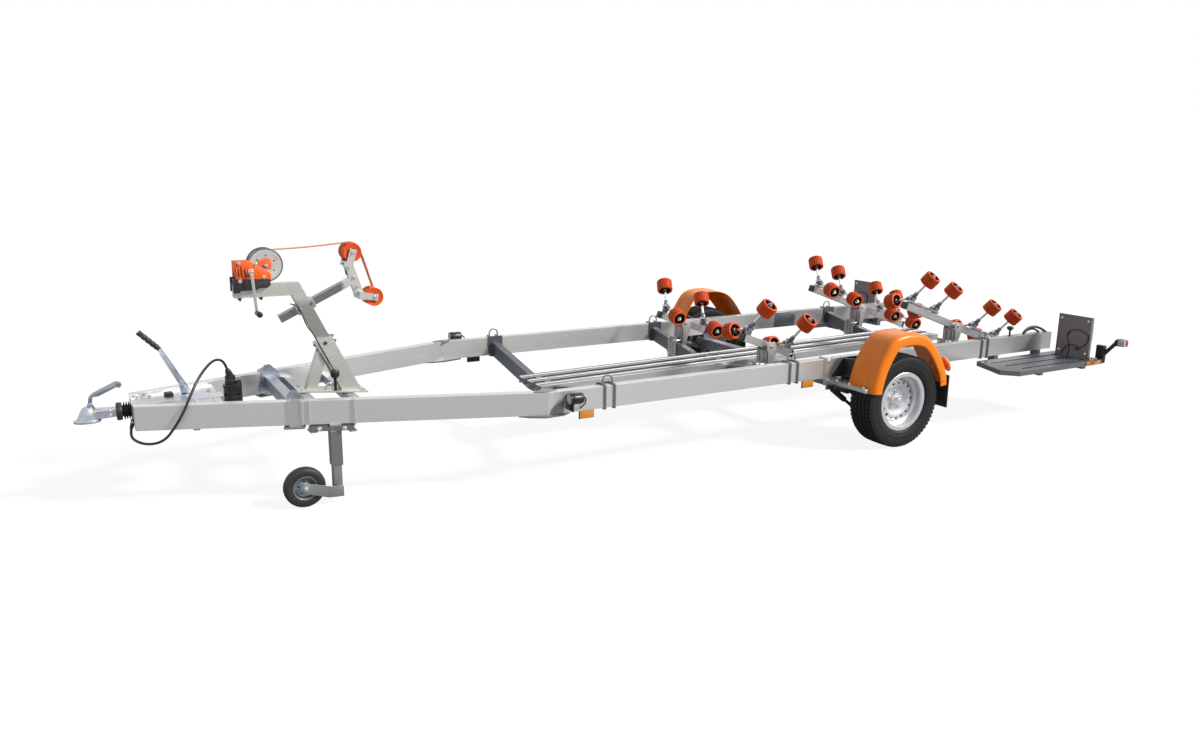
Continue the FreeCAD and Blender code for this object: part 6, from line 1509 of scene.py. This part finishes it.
# The lamps: amber side and rail reflectors, flexible outline lamps on rubber arms, tail lamps
# with red and amber lenses behind a grey case, and black front lamps with clear lenses.
def lens_group():
    """Moulded lens: a fine grid of prisms under a smooth skin, deeper colour in its grooves."""
    group, given, place = surface_group("lens prisms", {"Tint": (0.8, 0.1, 0.02, 1), "Pitch": 260.0})
    cells = node(group, "ShaderNodeTexVoronoi", {
        "Vector": place, "Scale": given["Pitch"], "Randomness": 0.0}, distance="CHEBYCHEV").outputs["Distance"]
    depth = ranged(group, cells, 0.0, 0.5, 1.15, 0.55)
    rough = ranged(group, noise(group, place, 40.0, 3.0), 0.3, 0.7, 0.10, 0.22)
    return finish_group(group, blended(group, 1.0, given["Tint"], depth, blend_type="MULTIPLY"), rough,
                        Strength=0.4, Distance=0.0006, Height=cells)


lens_prisms = lens_group()


def lens(name, colour):
    return skinned(finish(name, colour, 0.15, Coat_Weight=0.4), lens_prisms, Tint=(*colour, 1))


amber_lens = lens("amber reflector", (1.0, 0.36, 0.03))
red_lens = lens("red lens", (0.62, 0.02, 0.015))
clear_lens = lens("clear lens", (0.72, 0.74, 0.76))
lamp_grey = moulded("lamp case", (0.42, 0.43, 0.45), 0.38, 0.1, 0.2)
amber, red, clear, cases, grey_cases = [bmesh.new() for _ in range(5)]
for side in (-1, 1):
    for centre in (-0.8375, 0.8275):
        block(cases, centre - 0.05, centre + 0.05, *span(side, 0.86, 0.8665), 0.401, 0.4515, 0.002)
        block(amber, centre - 0.047, centre + 0.047, *span(side, 0.8655, 0.8705), 0.403, 0.4485, 0.0022)
    block(cases, 3.178, 3.347, *span(side, 1.2675, 1.27), 0.3945, 0.4275, 0.0008)
    block(amber, 3.18, 3.345, *span(side, 1.269, 1.274), 0.3955, 0.4265, 0.002)
    block(grey_cases, 3.2515, 3.29, *span(side, 0.974, 1.218), 0.558, 0.678, 0.006)
    for shape, near, far in ((red, 0.9765, 1.06), (clear, 1.061, 1.108), (red, 1.109, 1.156),
                             (amber, 1.157, 1.2155)):
        block(shape, 3.2885, 3.3035, *span(side, near, far), 0.5605, 0.6755, 0.0045)
    block(cases, 3.3725, 3.4065, *span(side, 1.206, 1.272), 0.398, 0.532, 0.005)
    foot, elbow = Vector((3.3885, side * 1.24, 0.436)), Vector((3.3885, side * 1.356, 0.575))
    arm_line = [foot.lerp(elbow, k / 24) for k in range(25)]
    pipe(cases, arm_line, [0.015 if k % 3 else 0.0128 for k in range(25)], 20)
    slab(cases, [(side * 1.344, 0.552), (side * 1.35, 0.546), (side * 1.4, 0.546), (side * 1.4, 0.6),
                 (side * 1.362, 0.6), (side * 1.344, 0.586)], "x", 3.3735, 3.4155, 0.003)
    block(clear, 3.3665, 3.3938, *span(side, 1.37, 1.424), 0.548, 0.5985, 0.008)
    block(red, 3.3945, 3.4225, *span(side, 1.37, 1.424), 0.548, 0.5985, 0.008)
for lamp_x, side, z in ((-0.9655, -1, 0.544), (-0.9755, 1, 0.588)):
    y = side * 0.926
    block(cases, lamp_x - 0.008, lamp_x, *span(side, 0.87, 0.954), z - 0.07, z + 0.016, 0.0015)
    lathe(cases, [(0, 0), (0.032, 0), (0.034, 0.003), (0.034, 0.01), (0.0325, 0.012), (0.0325, 0.058),
                  (0.029, 0.066), (0.02, 0.071), (0, 0.072)], (lamp_x, y, z), (1, 0, 0), 40)
    lathe(cases, [(0.0285, 0.007), (0.034, 0.007), (0.034, 0.016), (0.03, 0.019), (0.0285, 0.018)],
          (lamp_x, y, z), (-1, 0, 0), 40, ring=True)
    lathe(clear, [(0, 0.006), (0.029, 0.006), (0.029, 0.017), (0.022, 0.0215), (0.011, 0.0235), (0, 0.024)],
          (lamp_x, y, z), (-1, 0, 0), 40)
    lamp_lead = smooth_line([
        (lamp_x + 0.07, y, z), (lamp_x + 0.088, y * 0.998, z - 0.004),
        (lamp_x + 0.096, side * 0.905, z - 0.04), (lamp_x + 0.085, side * 0.872, z - 0.075)], 5)
    pipe(cases, lamp_lead, 0.004, 10)
placed("lamp_cases", [(cases, gloss_black), (grey_cases, lamp_grey)], "lamp_plastic", "lamps")
placed("lamp_lenses", [(amber, amber_lens), (red, red_lens), (clear, clear_lens)], "lamp_plastic")


# The jockey wheel: a zinc channel strapped under the left drawbar, a square tube that slides in
# another, and a solid black tyre on a grey pressed rim, carried by a rounded arm on one side.
seat_zinc = zinc("jockey bracket zinc", (0.66, 0.66, 0.65), (0.48, 0.49, 0.49), 0.36)
# Low on the bracket, under the drawbar, the colour drops to four tenths: painted shade.
coat("jockey_bracket", darker_past(seat_zinc, "Z", 0.4460, 0.4395, 0.40))
stem_zinc = zinc("jockey tube zinc", (0.34, 0.345, 0.34), (0.24, 0.245, 0.24), 0.40, 0.75, 140.0)
rim_paint = zinc("jockey rim paint", (0.33, 0.39, 0.43), (0.20, 0.25, 0.29), 0.28, 0.6, 240.0, 0.0008)
jockey_black = moulded("jockey tyre", (0.016, 0.016, 0.017), 0.45, 0.10, 0.3)
stem_x, stem_y, roll_x, roll_z = -2.1875, -0.478, -2.3655, 0.112
seat_fixings = [((-2.2975, -0.441, 0.4138), (0, 0, -1)), ((-2.1025, -0.507, 0.4138), (0, 0, -1)),
                ((-2.27, -0.486, 0.427), (-0.32, -0.95, 0)), ((-2.145, -0.529, 0.427), (-0.32, -0.95, 0))]
seat_plate, seat_half, drawbar_splay = bmesh.new(), 0.0205, 0.338
for low_x in (-2.318, -2.123):
    middle_y = stem_y - drawbar_splay * (low_x + seat_half - stem_x)
    block(seat_plate, low_x, low_x + 2 * seat_half, middle_y - 0.04, middle_y + 0.04, 0.407, 0.414, 0.0015)
weld = bmesh.new()
for start, end in (((-0.0305, -0.03), (-0.0305, 0.03)), ((0.0305, -0.03), (0.0305, 0.03)),
                   ((-0.03, -0.0305), (0.03, -0.0305))):
    pipe(weld, [(stem_x + x, stem_y + y, 0.411) for x, y in (start, end)], 0.003, 8)
placed("jockey_seat_fixings", [nuts(seat_fixings, 0.01), (seat_plate, stem_zinc), (weld, stem_zinc)],
       "galvanised")
stem_shape = bmesh.new()
block(stem_shape, stem_x - 0.024, stem_x + 0.024, stem_y - 0.024, stem_y + 0.024, 0.035, 0.3, 0.003)
block(stem_shape, stem_x - 0.0235, stem_x + 0.0235, -0.519, stem_y - 0.0235, 0.041, 0.097, 0.0)
arm_outline = [(stem_x + 0.024, 0.04), (stem_x + 0.024, 0.098), (stem_x - 0.05, 0.106),
               (roll_x + 0.03, 0.136)]
for step in range(9):
    angle = math.radians(80 + 25 * step)
    arm_outline.append((roll_x + 0.03 * math.cos(angle), roll_z + 0.029 * math.sin(angle)))
arm_outline.append((stem_x - 0.06, 0.044))
slab(stem_shape, arm_outline, "y", -0.521, -0.515, 0.0012)
stem_pin = bmesh.new()
lathe(stem_pin, [(0, 0.441), (0.008, 0.441), (0.008, 0.521), (0, 0.521)],
      (roll_x, 0, roll_z), (0, -1, 0), 20)
stem_spots = [((roll_x, -0.521, roll_z), (0, -1, 0)), ((roll_x, -0.4415, roll_z), (0, 1, 0))]
placed("jockey_stem_shape", [(stem_shape, stem_zinc), (stem_pin, bright_zinc), nuts(stem_spots, 0.01)],
       "zinc_plated", "jockey_leg", body="jockey_stem")
jockey_tyre, jockey_rim, jockey_hole_shade = bmesh.new(), bmesh.new(), bmesh.new()
half_tyre = [(0.0612, -0.0262), (0.064, -0.0285), (0.076, -0.0305), (0.09, -0.031), (0.101, -0.0292),
             (0.1068, -0.0245), (0.11, -0.017), (0.112, -0.011), (0.112, -0.004), (0.1104, -0.0032)]
lathe(jockey_tyre, both_ways(half_tyre), (roll_x, stem_y, roll_z), (0, 1, 0), 64, ring=True)
half_rim = [(0.0084, -0.031), (0.018, -0.031), (0.0195, -0.0295), (0.02, -0.011), (0.0245, -0.0082),
            (0.046, -0.008), (0.052, -0.011), (0.056, -0.018), (0.059, -0.0262), (0.0625, -0.029),
            (0.0655, -0.0292), (0.066, -0.0275), (0.0614, -0.025)]
lathe(jockey_rim, both_ways(half_rim), (roll_x, stem_y, roll_z), (0, 1, 0), 56, ring=True)
# Black discs where the rim's holes are: painted shade in the holes.
for turn in range(5):
    angle = 2 * math.pi * turn / 5 + 0.4
    for side in (-1, 1):
        hole_at = (roll_x + 0.0345 * math.cos(angle), stem_y, roll_z + 0.0345 * math.sin(angle))
        lathe(jockey_hole_shade, [(0, 0.0079), (0.006, 0.0079), (0.006, 0.0084), (0, 0.0084)], hole_at,
              (0, side, 0), 16)
placed("jockey_wheel_shape", [
    (jockey_tyre, jockey_black), (jockey_rim, rim_paint), (jockey_hole_shade, black_nylon_and_shade),
], "black_rubber", "jockey_wheel", body="jockey_roller")


# Under the front clamps and the left drawbar: dark flat plates that close the straps, and a
# small welded tab that the brake rod's guide hangs from.
clamp_under = bmesh.new()
clamp_middle_x, drawbar_front, front_half, outer_splay = -2.3805, -3.1425, 0.175, 0.3382
drawbar_outer = front_half + (clamp_middle_x - drawbar_front) * outer_splay
for side in (-1, 1):
    bar(clamp_under, (-2.4325, side * (drawbar_outer - 0.048), 0.434),
        (-2.3285, side * (drawbar_outer - 0.013), 0.434), 0.07, 0.012, 0.002)
block(clamp_under, -2.872, -2.84, -0.272, -0.256, 0.442, 0.4505, 0.001)
placed("under_plates", [(clamp_under, stem_zinc)], "zinc_plated")
